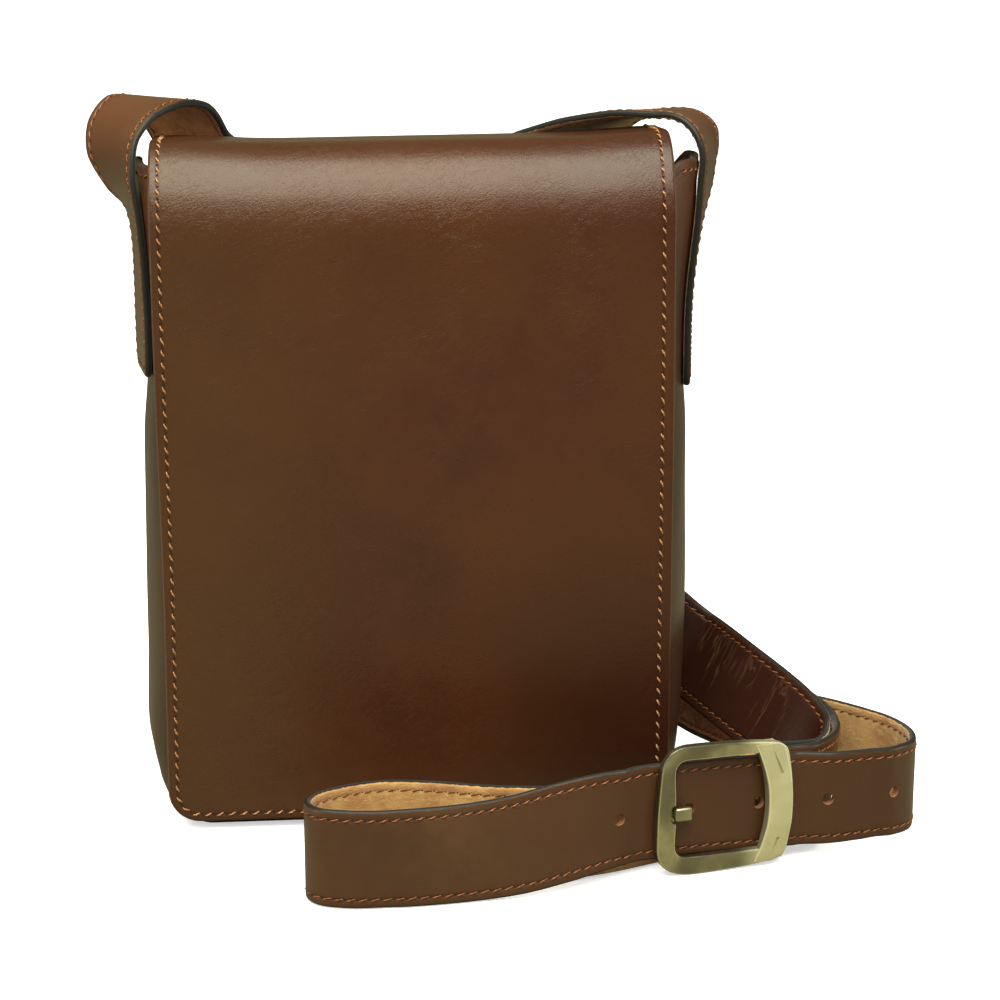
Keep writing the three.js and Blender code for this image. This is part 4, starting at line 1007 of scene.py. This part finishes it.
def smoothCurve(points, at):  # a curve through points, eased by the roots of their spacing; at counts rows
    points = np.asarray(points, float)
    last = len(points) - 2
    ends = np.vstack([2 * points[0] - points[1], points, 2 * points[-1] - points[-2]])
    row = np.clip(np.floor(at).astype(int), 0, last)
    share = (at - row)[:, None]
    p0, p1, p2, p3 = (ends[row + k] for k in range(4))

    def gap(a, b):
        return np.sqrt(np.linalg.norm(b - a, axis=1))[:, None]

    d0, d1, d2 = gap(p0, p1), gap(p1, p2), gap(p2, p3)
    d1 = np.where(d1 < 1e-4, 1.0, d1)
    d0 = np.where(d0 < 1e-4, d1, d0)
    d2 = np.where(d2 < 1e-4, d1, d2)
    start = ((p1 - p0) / d0 - (p2 - p0) / (d0 + d1) + (p2 - p1) / d1) * d1
    end = ((p2 - p1) / d1 - (p3 - p1) / (d1 + d2) + (p3 - p2) / d2) * d1
    square = -3 * p1 + 3 * p2 - 2 * start - end
    cube = 2 * p1 - 2 * p2 + start + end
    place = p1 + start * share + square * share ** 2 + cube * share ** 3
    slope = start + 2 * square * share + 3 * cube * share ** 2
    return place, slope


class StrapRun:  # a strap's middle line, with its ways along, across and out at any distance
    def __init__(self, rows, grainSide):
        self.middles = [row[:3] for row in rows]
        self.acrosses = [row[3:6] for row in rows]
        self.leans = [(row[6] if len(row) > 6 else 0.0, 0, 0) for row in rows]
        self.grainSide = grainSide
        self.counts = np.linspace(0, len(rows) - 1, 400 * (len(rows) - 1) + 1)
        places, _ = smoothCurve(self.middles, self.counts)
        self.run = runAlong(places)
        self.length = self.run[-1]

    def at(self, distance):
        counts = np.interp(distance, self.run, self.counts)
        place, slope = smoothCurve(self.middles, counts)
        travel = unit(slope)
        wide = unit(smoothCurve(self.acrosses, counts)[0])
        lean = smoothCurve(self.leans, counts)[0][:, :1]
        lying = (wide * travel).sum(1, keepdims=True)
        wide = unit(wide + (lean - 1) * lying * travel)
        slant = np.sqrt(1 - (wide * travel).sum(1, keepdims=True) ** 2)
        out = unit(np.cross(travel, wide)) * self.grainSide
        return place, travel, wide / slant, out

    def nearest(self, point):
        fine = np.arange(0, self.length, 0.1)
        return fine[np.argmin(np.linalg.norm(self.at(fine)[0] - point, axis=1))]

    def stations(self):  # places along the strap, closer together where it bends, twists or ends
        step = 0.25
        fine = np.arange(0, self.length, step)
        _, travel, wide, _ = self.at(fine)
        bends = np.linalg.norm(np.diff(travel, axis=0), axis=1)
        twists = np.linalg.norm(np.diff(unit(wide), axis=0), axis=1)
        load = np.concatenate([[0], np.cumsum((bends + twists) / 0.075 + step / 3.2)])
        even = np.interp(np.linspace(0, load[-1], int(load[-1])), load, fine)
        ends = np.concatenate([rimSteps, [3.0, 3.6, 4.4, 6, 8, 10, 12, 14.5, 17]])
        inner = even[(even > 18) & (even < self.length - 18)]
        return np.concatenate([ends, inner, self.length - ends[::-1]])


def buildStrap(name, run, startCorner, endCorner, materials):
    halfWidth = strap["width"] / 2
    distance = run.stations()
    place, _, wide, out = run.at(distance)
    fromEdge = np.array([0, 0.12, 0.4, 0.8, 1.3, 2.0, 2.8, 3.2, 3.6, 4.0, 4.4, 5.4, 7.5, 10.5, 14.5])
    shares = np.concatenate([fromEdge, [halfWidth], 2 * halfWidth - fromEdge[::-1]]) / halfWidth - 1
    reach = halfWidth - cornerLoss(distance, startCorner) - cornerLoss(run.length - distance, endCorner)
    u = shares[None, :] * reach[:, None]
    v = np.broadcast_to(distance[:, None], u.shape)
    middle = place[:, None, :] + wide[:, None, :] * u[..., None]
    normal = np.broadcast_to(out[:, None, :], middle.shape)
    inward = roundedWay(u + halfWidth, halfWidth - u, v, run.length - v, startCorner, endCorner)
    fromSeam = inward - strap["seamInset"]
    press = strap["press"] * np.exp(-(fromSeam / strap["pressSpread"]) ** 2)
    half = strap["leather"] / 2
    profile = [(0.8, 1.1 * mm), (0.2, 3.0 * mm)]
    return buildSheet(name, middle * mm, normal, inward * mm, fromSeam * mm,
                      np.stack([u, v], -1) * mm, half * mm, profile, materials, press * mm)


def strapSeam(run, startCorner, endCorner, face):  # one sewn loop, a little way in from the strap's outline
    inset = strap["seamInset"]
    half = strap["width"] / 2
    turn = np.linspace(0, np.pi / 2, 10)
    outline = []
    for corner, end in ((startCorner, 0.0), (endCorner, run.length)):
        radius = max(corner - inset, 0.01)
        arcU = half - inset - radius + radius * np.sin(turn)
        arcV = inset + radius - radius * np.cos(turn)
        outline.append((arcU, arcV if end == 0 else run.length - arcV))
    (startU, startV), (endU, endV) = outline
    straight = np.linspace(startV[-1], endV[-1], int(run.length))[1:-1]
    u = np.concatenate([startU, np.full_like(straight, half - inset), endU[::-1]])
    v = np.concatenate([startV, straight, endV[::-1]])
    u = np.concatenate([u, -u[::-1], u[:1]])
    v = np.concatenate([v, v[::-1], v[:1]])
    if face < 0:  # the sewn-on tab hides the thread on its inner side
        free = v > strap["tabLength"]
        u, v = u[free], v[free]
    place, _, wide, out = run.at(v)
    rise = strap["leather"] / 2 - 0.16
    line = place + wide * u[:, None] + out * face * rise
    return sewnRow(line * mm, out * face, strapStitches["pitch"] * mm)


def punchHoles(made, run):  # the belt holes, cut square through the strap
    heart = run.nearest(besideBuckle(0, -strap["leather"] / 2))
    radius = strap["holeDiameter"] / 2 * mm
    cutter = bmesh.new()
    for k in strap["holes"]:
        place, travel, wide, out = run.at(np.array([heart + strap["prongHole"] + k * strap["holePitch"]]))
        turn = Matrix((travel[0], wide[0], out[0])).transposed().to_4x4()
        stood = Matrix.Translation(Vector(place[0]) * mm) @ turn
        bmesh.ops.create_cone(cutter, cap_ends=True, segments=28, radius1=radius, radius2=radius,
                              depth=9 * mm, matrix=stood)
    mesh = bpy.data.meshes.new("punch")
    cutter.to_mesh(mesh)
    cutter.free()
    mesh.materials.append(dullMaterial("rawLeather", tint(112, 70, 46), tint(168, 120, 86), 1300.0, 3.0))
    cutAway(made, mesh, 50, material_mode="TRANSFER")


def makeStraps():
    grain = grainMaterial("strapGrain", strap["look"])
    pale = fleshMaterial("strapFlesh", strap["paleFlesh"])
    brown = fleshMaterial("shortStrapFlesh", strap["brownFlesh"])
    underBuckle = [(*besideBuckle(along, out)[:2], z, 0, 0, 1)
                   for along, out, z in ((27, -16.5, 20.4), (0, -15.6, 19.6), (-23, -11, 19.3))]
    throughBuckle = [(*besideBuckle(along, -strap["leather"] / 2)[:2], z, 0, 0, 1)
                     for along, z in ((-33, 25), (-11, 25), (11, 24.3), (25, 23.7), (33, 23.5))]
    longRun = StrapRun(longBehind + longTurn + underBuckle + longLoop + throughBuckle + longEnd, 1)
    heelAlong, heelOut, turn = strap["heelAlong"], strap["heelOut"], strap["heelTurn"]
    angles = np.radians([115, 150, 180, 210, 245])
    fold = [buckleRow(heelAlong + turn * math.cos(a), heelOut + turn * math.sin(a)) for a in angles]
    near = heelOut + turn
    under = near - strap["leather"] - 0.3
    before = [(39, near - 0.2), (31, near - 0.4), (26, near - 0.3)]
    after = [(26, heelOut - turn), (31, heelOut - turn + 0.6), (38, under - 1.2), (46, under - 1.6)]
    shortEnd = [buckleRow(*row) for row in before] + fold + [buckleRow(*row) for row in after]
    shortStrap = StrapRun(shortRun + shortEnd, -1)
    for name, run, endCorner, nodeName, flesh in (
        ("strapLong", longRun, strap["tipCorner"], "strap_long", pale),
        ("strapShort", shortStrap, 1.0, "strap_short", brown),
    ):
        made = buildStrap(name, run, strap["tabCorner"], endCorner, [grain, flesh])
        if name == "strapLong":
            punchHoles(made, run)
        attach(made, "root")
        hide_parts(nodeName)
        for label, face, thread in (("Stitches", 1, strapThread), ("BackStitches", -1, dullThread)):
            seam = strapSeam(run, strap["tabCorner"], endCorner, face)
            sewn = sew(name + label, [seam], thread, strapStitches)
            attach(sewn, "root")
        print(name, "made,", round(run.length), "mm long")


makeStraps()


# buckle: a cast frame with a bowed keeper, a heel bar and a prong, drawn flat and stood up by the strap

buckle = {
    "height": 51, "left": -26.8, "right": 27.2, "barWidth": 5.9, "topBar": 5.2, "lowBar": 7, "bevel": 0.55,
    "back": 0.4, "front": 5.2, "keeperFront": 6.6, "keeperWidth": 10.3, "keeperBow": 5.2, "heelRadius": 1.2,
    "prongWidth": 5.4, "prongUp": -0.5, "prongNeck": -14.1, "notchHalf": 3.7, "notchUp": -0.3,
}


def standUp(points):  # from the buckle's own flat drawing (along, up, out) to the part's frame
    points = np.asarray(points, float)
    base = np.array([strap["buckleHeart"][0], strap["buckleHeart"][1], buckle["height"] / 2])
    turned = points[..., :1] * buckleAlong + points[..., 2:3] * buckleOut
    return (base + turned + points[..., 1:2] * np.array([0, 0, 1.0])) * mm


def bowLine(*controls, count=24):
    share = np.linspace(0, 1, count)[:-1, None]
    a, b, c = (np.array(point, float) for point in controls)
    return a * (1 - share) ** 2 + 2 * b * share * (1 - share) + c * share ** 2


def straightLine(a, b, count):
    share = np.linspace(0, 1, count)[:-1, None]
    return np.array(a, float) * (1 - share) + np.array(b, float) * share


def frameLoops():
    left, right, top = buckle["left"], buckle["right"], buckle["height"] / 2
    shoulder = top - 11
    outer = np.concatenate([
        bowLine((left - 1.6, -shoulder), (left - 2.2, 0), (left, shoulder), count=30),
        bowLine((left, shoulder), (left + 1, top), (left + 12, top + 0.4)),
        bowLine((left + 12, top + 0.4), (4, top + 0.4), (17, top - 1.2)),
        bowLine((17, top - 1.2), (right - 2.2, top - 1.6), (right - 1.6, shoulder + 5)),
        bowLine((right - 1.6, shoulder + 5), (right + 2, 0), (right - 1.8, -shoulder - 4)),
        bowLine((right - 1.8, -shoulder - 4), (right - 2.6, -top + 2.2), (17, -top + 1.6)),
        bowLine((17, -top + 1.6), (4, -top), (left + 12, -top)),
        bowLine((left + 12, -top), (left - 0.2, -top + 0.4), (left - 1.6, -shoulder)),
    ])
    inLeft, inRight = left + buckle["barWidth"], right - 6
    inTop, inLow, bend = top - buckle["topBar"], buckle["lowBar"] - top, 6
    inner = np.concatenate([
        straightLine((inLeft, inLow + bend), (inLeft, inTop - bend), 30),
        bowLine((inLeft, inTop - bend), (inLeft, inTop), (inLeft + bend, inTop)),
        straightLine((inLeft + bend, inTop), (inRight, inTop), 40),
        straightLine((inRight, inTop), (inRight, inLow), 40),
        straightLine((inRight, inLow), (inLeft + bend, inLow), 40),
        bowLine((inLeft + bend, inLow), (inLeft, inLow), (inLeft, inLow + bend)),
    ])
    return outer, inner


def meetRays(loop, angles):  # where rays from the middle meet a loop drawn round it
    bearing = np.unwrap(np.arctan2(loop[:, 1], loop[:, 0]))
    if bearing[-1] < bearing[0]:
        bearing, loop = bearing[::-1], loop[::-1]
    start = angles[0]
    shifted = np.mod(bearing - start, 2 * np.pi)
    order = np.argsort(shifted)
    shifted, points = shifted[order], loop[order]
    shifted = np.concatenate([[shifted[-1] - 2 * np.pi], shifted, [shifted[0] + 2 * np.pi]])
    points = np.concatenate([points[-1:], points, points[:1]])
    wanted = np.mod(angles - start, 2 * np.pi)
    return np.stack([np.interp(wanted, shifted, points[:, k]) for k in range(2)], -1)


def facet(up, flat, drop, reach):  # the flat middle of a bar's face, with its ends sloping back
    return -drop * np.clip((np.abs(up) - flat) / (reach - flat), 0, 1)


def loftMesh(builder, sections, wrapRows, arris, paintedShade):  # closed sections joined one to the next, with arris marks and painted-shade marks in arrisMap
    rows, count = sections.shape[:2]
    lay = builder.loops.layers.uv["arrisMap"]
    verts = [[builder.verts.new(point) for point in row] for row in sections]
    last = rows if wrapRows else rows - 1
    for i in range(last):
        for j in range(count):
            k, m = (i + 1) % rows, (j + 1) % count
            face = builder.faces.new((verts[i][j], verts[i][m], verts[k][m], verts[k][j]))
            for loop, value in zip(face.loops, (j, m, m, j)):
                loop[lay].uv = (arris[value] if arris[j] and arris[m] else 0, paintedShade[j] * paintedShade[m])
    if not wrapRows:
        builder.faces.new(verts[0])
        builder.faces.new(verts[-1][::-1])


def roundedBlock(builder, size, place, bevel):  # a block in the buckle's flat drawing with softened arrises
    made = bmesh.ops.create_cube(builder, size=1.0)
    for vert in made["verts"]:
        vert.co = Vector([c * s + p for c, s, p in zip(vert.co, size, place)])
    edges = list({edge for vert in made["verts"] for edge in vert.link_edges})
    result = bmesh.ops.bevel(builder, geom=edges, offset=bevel, segments=3, affect="EDGES", profile=0.6)
    found = {vert for face in result["faces"] for vert in face.verts}
    found |= {vert for vert in made["verts"] if vert.is_valid}
    for vert in found:
        vert.co = Vector(standUp(vert.co))


def newBrass():
    builder = bmesh.new()
    builder.loops.layers.uv.new("arrisMap")
    return builder


def finishBrass(builder, name, material, nodeName):
    bmesh.ops.recalc_face_normals(builder, faces=builder.faces)
    mesh = bpy.data.meshes.new(name)
    builder.to_mesh(mesh)
    builder.free()
    mesh.materials.append(material)
    smoothFaces(mesh, 28)
    made = addObject(name, mesh)
    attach(made, "root")
    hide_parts(nodeName)
    return made


def cutBrass(made, pieces):  # pieces cut out of the casting: a list of corner lists in the flat drawing
    cutter = bmesh.new()
    for low, high in pieces:
        bottom = [cutter.verts.new(point) for point in standUp(low)]
        top = [cutter.verts.new(point) for point in standUp(high)]
        count = len(bottom)
        cutter.faces.new(bottom[::-1])
        cutter.faces.new(top)
        for k in range(count):
            m = (k + 1) % count
            cutter.faces.new((bottom[k], bottom[m], top[m], top[k]))
    bmesh.ops.recalc_face_normals(cutter, faces=cutter.faces)
    mesh = bpy.data.meshes.new("cutter")
    cutter.to_mesh(mesh)
    cutter.free()
    cutAway(made, mesh, 28, use_self=True)


def roundHeel(radius, height, count):  # a ring of points round the heel bar's axis
    turn = np.linspace(0, 2 * np.pi, count + 1)[:-1]
    along, out = strap["heelAlong"] + radius * np.cos(turn), strap["heelOut"] + radius * np.sin(turn)
    return np.stack([along, np.full(count, height), out], -1)


def buildBuckleFrame(material):
    builder = newBrass()
    outer, inner = frameLoops()
    angles = np.unwrap(np.arctan2(outer[:, 1], outer[:, 0]))
    if angles[-1] < angles[0]:
        angles, outer = angles[::-1], outer[::-1]
    inside = meetRays(inner, angles)
    wall = unit(inside - outer)
    bevel, back, front = buckle["bevel"], buckle["back"], buckle["front"]
    crown = front + facet(outer[:, 1], 7.5, 0.7 + 0.7 * ease(-10, -22, outer[:, 0]), 24)

    def ring(points, out):
        return np.concatenate([points, np.broadcast_to(out, (len(points),))[:, None]], 1)

    sections = np.stack([
        ring(outer + wall * 0.5, back), ring(outer, back + 0.5), ring(outer, crown - bevel),
        ring(outer + wall * bevel * 0.3, crown - bevel * 0.3), ring(outer + wall * bevel, crown),
        ring(outer + wall * (bevel + 0.3), crown), ring(inside - wall * (bevel + 0.3), crown),
        ring(inside - wall * bevel, crown), ring(inside - wall * bevel * 0.3, crown - bevel * 0.3),
        ring(inside, crown - bevel), ring(inside, back + 0.5), ring(inside - wall * 0.5, back),
    ], 1)
    loftMesh(builder, standUp(sections), True, [0, 0, 1, 1, 1, 0, 0, 1, 1, 1, 0, 0],
             [1, 1, 1, 0, 0, 0, 0, 0, 0, 1, 1, 1])
    end = buckle["height"] / 2 - 1.9
    left = buckle["right"] - buckle["keeperWidth"]
    share = np.linspace(0, 1, 41)
    up = -end + 2 * end * share
    bowed = 4 * share * (1 - share)
    leftLine = left - buckle["keeperBow"] + buckle["keeperBow"] * bowed
    rightSide = outer[outer[:, 0] > 12]
    rightSide = rightSide[np.argsort(rightSide[:, 1])]
    frameEdge = np.interp(up, rightSide[:, 1], rightSide[:, 0])
    rightLine = np.minimum(buckle["right"] - 3.6 + 3.2 * bowed, frameEdge)
    face = buckle["keeperFront"] + facet(up, 8, 1.9, end)
    middleX = (leftLine + rightLine) / 2

    def strip(x, out):
        return np.stack([x, up, np.broadcast_to(out, x.shape)], -1)

    keeper = np.stack([
        strip(leftLine + 0.5, back + 1.4), strip(leftLine, back + 1.9), strip(leftLine, face - bevel),
        strip(leftLine + bevel * 0.3, face - bevel * 0.3), strip(leftLine + bevel, face),
        strip((leftLine + middleX) / 2, face + 0.16), strip(middleX, face + 0.22),
        strip((rightLine + middleX) / 2, face + 0.16), strip(rightLine - bevel, face),
        strip(rightLine - bevel * 0.3, face - bevel * 0.3), strip(rightLine, face - bevel),
        strip(rightLine, back + 1.9), strip(rightLine - 0.5, back + 1.4),
    ], 1)
    loftMesh(builder, standUp(keeper), False, [0, 0, 1, 1, 1, 0, 0, 0, 1, 1, 1, 0, 0],
             [1, 1, 1, 0, 0, 0, 0, 0, 0, 0, 1, 1, 1])
    heelOut, heelAlong = strap["heelOut"], strap["heelAlong"]
    lugBack = heelOut - buckle["heelRadius"] - 0.4
    lugFront = back + 1
    lift = strap["buckleHeart"][2] - buckle["height"] / 2
    lugs = ((lift - strap["width"] / 2 - 1.9, 1.6 - buckle["height"] / 2),
            (lift + strap["width"] / 2 + 0.6, buckle["height"] / 2 - 4.8))
    for inSide, outSide in lugs:
        roundedBlock(builder, (6, abs(outSide - inSide), lugFront - lugBack),
                     (heelAlong, (inSide + outSide) / 2, (lugFront + lugBack) / 2), 0.5)
    heights = np.linspace(lugs[0][1] + 0.6, lugs[1][1] - 0.6, 8)
    rod = np.stack([roundHeel(buckle["heelRadius"], height, 16) for height in heights])
    loftMesh(builder, standUp(rod), False, [0] * 16, [0] * 16)
    made = finishBrass(builder, "buckleFrame", material, "buckle_frame")
    notchEdge = buckle["left"] + buckle["barWidth"]
    bend = np.linspace(-np.pi / 2, np.pi / 2, 14)
    notchHalf, notchUp = buckle["notchHalf"], buckle["notchUp"]
    notch = [(notchEdge + 1, notchUp + notchHalf), (notchEdge + 1, notchUp - notchHalf)]
    notch += [(notchEdge - 0.4 - 2.3 * math.cos(a), notchUp + notchHalf * math.sin(a)) for a in bend]
    pieces = [([(x, y, 2.9) for x, y in notch], [(x, y, 8.0) for x, y in notch])]
    grooves = (((18.6, 21.6), (22.3, 11.6)), ((20.9, -13.8), (18.6, -21)))
    for start, stop in grooves:
        a, b = np.array(start), np.array(stop)
        along = unit(b - a)
        cross = np.array([-along[1], along[0]])
        wide, thin = (b, a) if start[1] > 0 else (a, b)
        outline = [thin - cross * 0.08, wide - cross * 0.65, wide + cross * 0.65, thin + cross * 0.08]
        pieces.append(([(x, y, 5.1) for x, y in outline], [(x, y, 8.5) for x, y in outline]))
    cutBrass(made, pieces)


def buildProng(material):
    builder = newBrass()
    width, up, neckAt = buckle["prongWidth"], buckle["prongUp"], buckle["prongNeck"]
    heelOut, heelAlong = strap["heelOut"], strap["heelAlong"]
    turn = np.linspace(0, 2 * np.pi, 25)[:-1]
    bore, skin = buckle["heelRadius"] + 0.3, buckle["heelRadius"] + 1.4
    low, high = up - width / 2, up + width / 2
    rings = [(bore, low), (skin - 0.3, low), (skin, low + 0.3)]
    rings += [(skin, high - 0.3), (skin - 0.3, high), (bore, high)]
    eye = np.stack([roundHeel(radius, height, 24) for radius, height in rings], 1)
    loftMesh(builder, standUp(eye), True, [0] * 6, [0] * 6)
    shankStart, shankEnd = heelAlong - bore - 0.6, neckAt - 1.5
    shankMiddle = ((shankStart + shankEnd) / 2, up, heelOut + 0.4)
    roundedBlock(builder, (shankStart - shankEnd, 4, 2.4), shankMiddle, 0.5)
    neckBack, neckFront = heelOut + 0.4, buckle["front"] - 1.4
    neckX, neckUp = neckAt - 0.9 + 1.1 * np.cos(turn), up + 1.1 * np.sin(turn)
    neck = np.stack([np.stack([neckX, neckUp, np.full(24, out)], -1)
                     for out in np.linspace(neckBack, neckFront, 6)])
    loftMesh(builder, standUp(neck), False, [0] * 24, [0] * 24)
    tipLeft, tipRight = buckle["left"] + buckle["barWidth"] - 0.5, neckAt - 0.2
    tipMiddle = ((tipRight + tipLeft) / 2, up, buckle["front"] - 0.8)
    roundedBlock(builder, (tipRight - tipLeft, width, 3), tipMiddle, 1.35)
    finishBrass(builder, "buckleProng", material, "buckle_prong")


antiqueBrass = brassMaterial("antiqueBrass")
buildBuckleFrame(antiqueBrass)
buildProng(antiqueBrass)
print("buckle made")


# pale floor running up into a plain backdrop, and soft light

studio = {
    "floor": tint(248, 248, 247),
    "world": 0.14,
    "dimFloor": tint(118, 113, 90),
    "suns": [
        ("skyLight", 2.6, 75.0, (0.12, -0.1, 1.0), (0.94, 0.97, 1.0)),
        ("frontFill", 1.2, 50.0, (-0.2, -1.0, 0.5), (1.0, 0.97, 0.92)),
    ],
    "lightColor": (0.98, 0.97, 0.77),
    "floorGlow": 0.5,
    "lights": [
        ("keyLight", (-0.1, -0.55, 1.55), (0.0, 0.0, 0.25), 1.8, 1.6, 50.0),
        ("leftLight", (-1.5, -0.35, 0.5), (0.0, 0.0, 0.12), 0.4, 1.1, 5.0),
        ("rightLight", (1.5, -0.2, 0.5), (0.0, 0.0, 0.12), 0.4, 1.1, 5.0),
    ],
}


def makeStudio():
    material, tree, shader = startMaterial("paleFloor")
    room = node(tree, "ShaderNodeTexCoord").outputs["Object"]
    faint = noise(tree, room, 3.0)
    pale = blendColor(tree, faint, studio["floor"], tint(243, 243, 242))
    seen = node(tree, "ShaderNodeLightPath").outputs["Is Camera Ray"]  # white to the eye, dimmer as a mirror
    fill(tree, shader, {
        "Base Color": blendColor(tree, seen, studio["dimFloor"], pale), "Emission Color": (1, 1, 1, 1),
        "Emission Strength": calc(tree, "MULTIPLY", seen, studio["floorGlow"]), "Roughness": 0.8,
        "Specular IOR Level": 0.2})
    profile = [(-5.0, 0.0), (1.6, 0.0)]
    for k in range(1, 17):
        angle = math.pi / 2 * k / 16
        profile.append((1.6 + 1.2 * math.sin(angle), 1.2 - 1.2 * math.cos(angle)))
    profile.append((2.8, 6.0))
    builder = bmesh.new()
    edges = [[builder.verts.new((x, y, z - 0.0002)) for y, z in profile] for x in (-6.0, 6.0)]
    for k in range(len(profile) - 1):
        builder.faces.new((edges[0][k], edges[1][k], edges[1][k + 1], edges[0][k + 1]))
    mesh = bpy.data.meshes.new("floor")
    builder.to_mesh(mesh)
    builder.free()
    mesh.materials.append(material)
    smoothFaces(mesh)
    addObject("floor", mesh)
    world = bpy.data.worlds.new("studio")
    bpy.context.scene.world = world
    world.use_nodes = True
    background = world.node_tree.nodes["Background"]
    background.inputs["Color"].default_value = (1, 1, 1, 1)
    background.inputs["Strength"].default_value = studio["world"]
    for name, power, angle, lean, color in studio["suns"]:  # wide suns that aren't mirrored in the leather
        sun = bpy.data.lights.new(name, "SUN")
        sun.energy, sun.angle, sun.color = power, math.radians(angle), color
        made = bpy.data.objects.new(name, sun)
        bpy.context.scene.collection.objects.link(made)
        made.rotation_euler = Vector(lean).to_track_quat("Z", "Y").to_euler()
        made.visible_glossy = False
    for name, place, aim, width, height, power in studio["lights"]:
        lamp = bpy.data.lights.new(name, "AREA")
        lamp.shape = "RECTANGLE"
        lamp.size, lamp.size_y, lamp.energy = width, height, power
        lamp.color = studio["lightColor"]
        made = bpy.data.objects.new(name, lamp)
        bpy.context.scene.collection.objects.link(made)
        made.location = place
        made.rotation_euler = (Vector(aim) - Vector(place)).to_track_quat("-Z", "Y").to_euler()


makeStudio()
print("studio set")

bpy.context.scene.view_settings.view_transform = "Standard"  # white stays white, as in the photograph

bpy.context.view_layer.update()
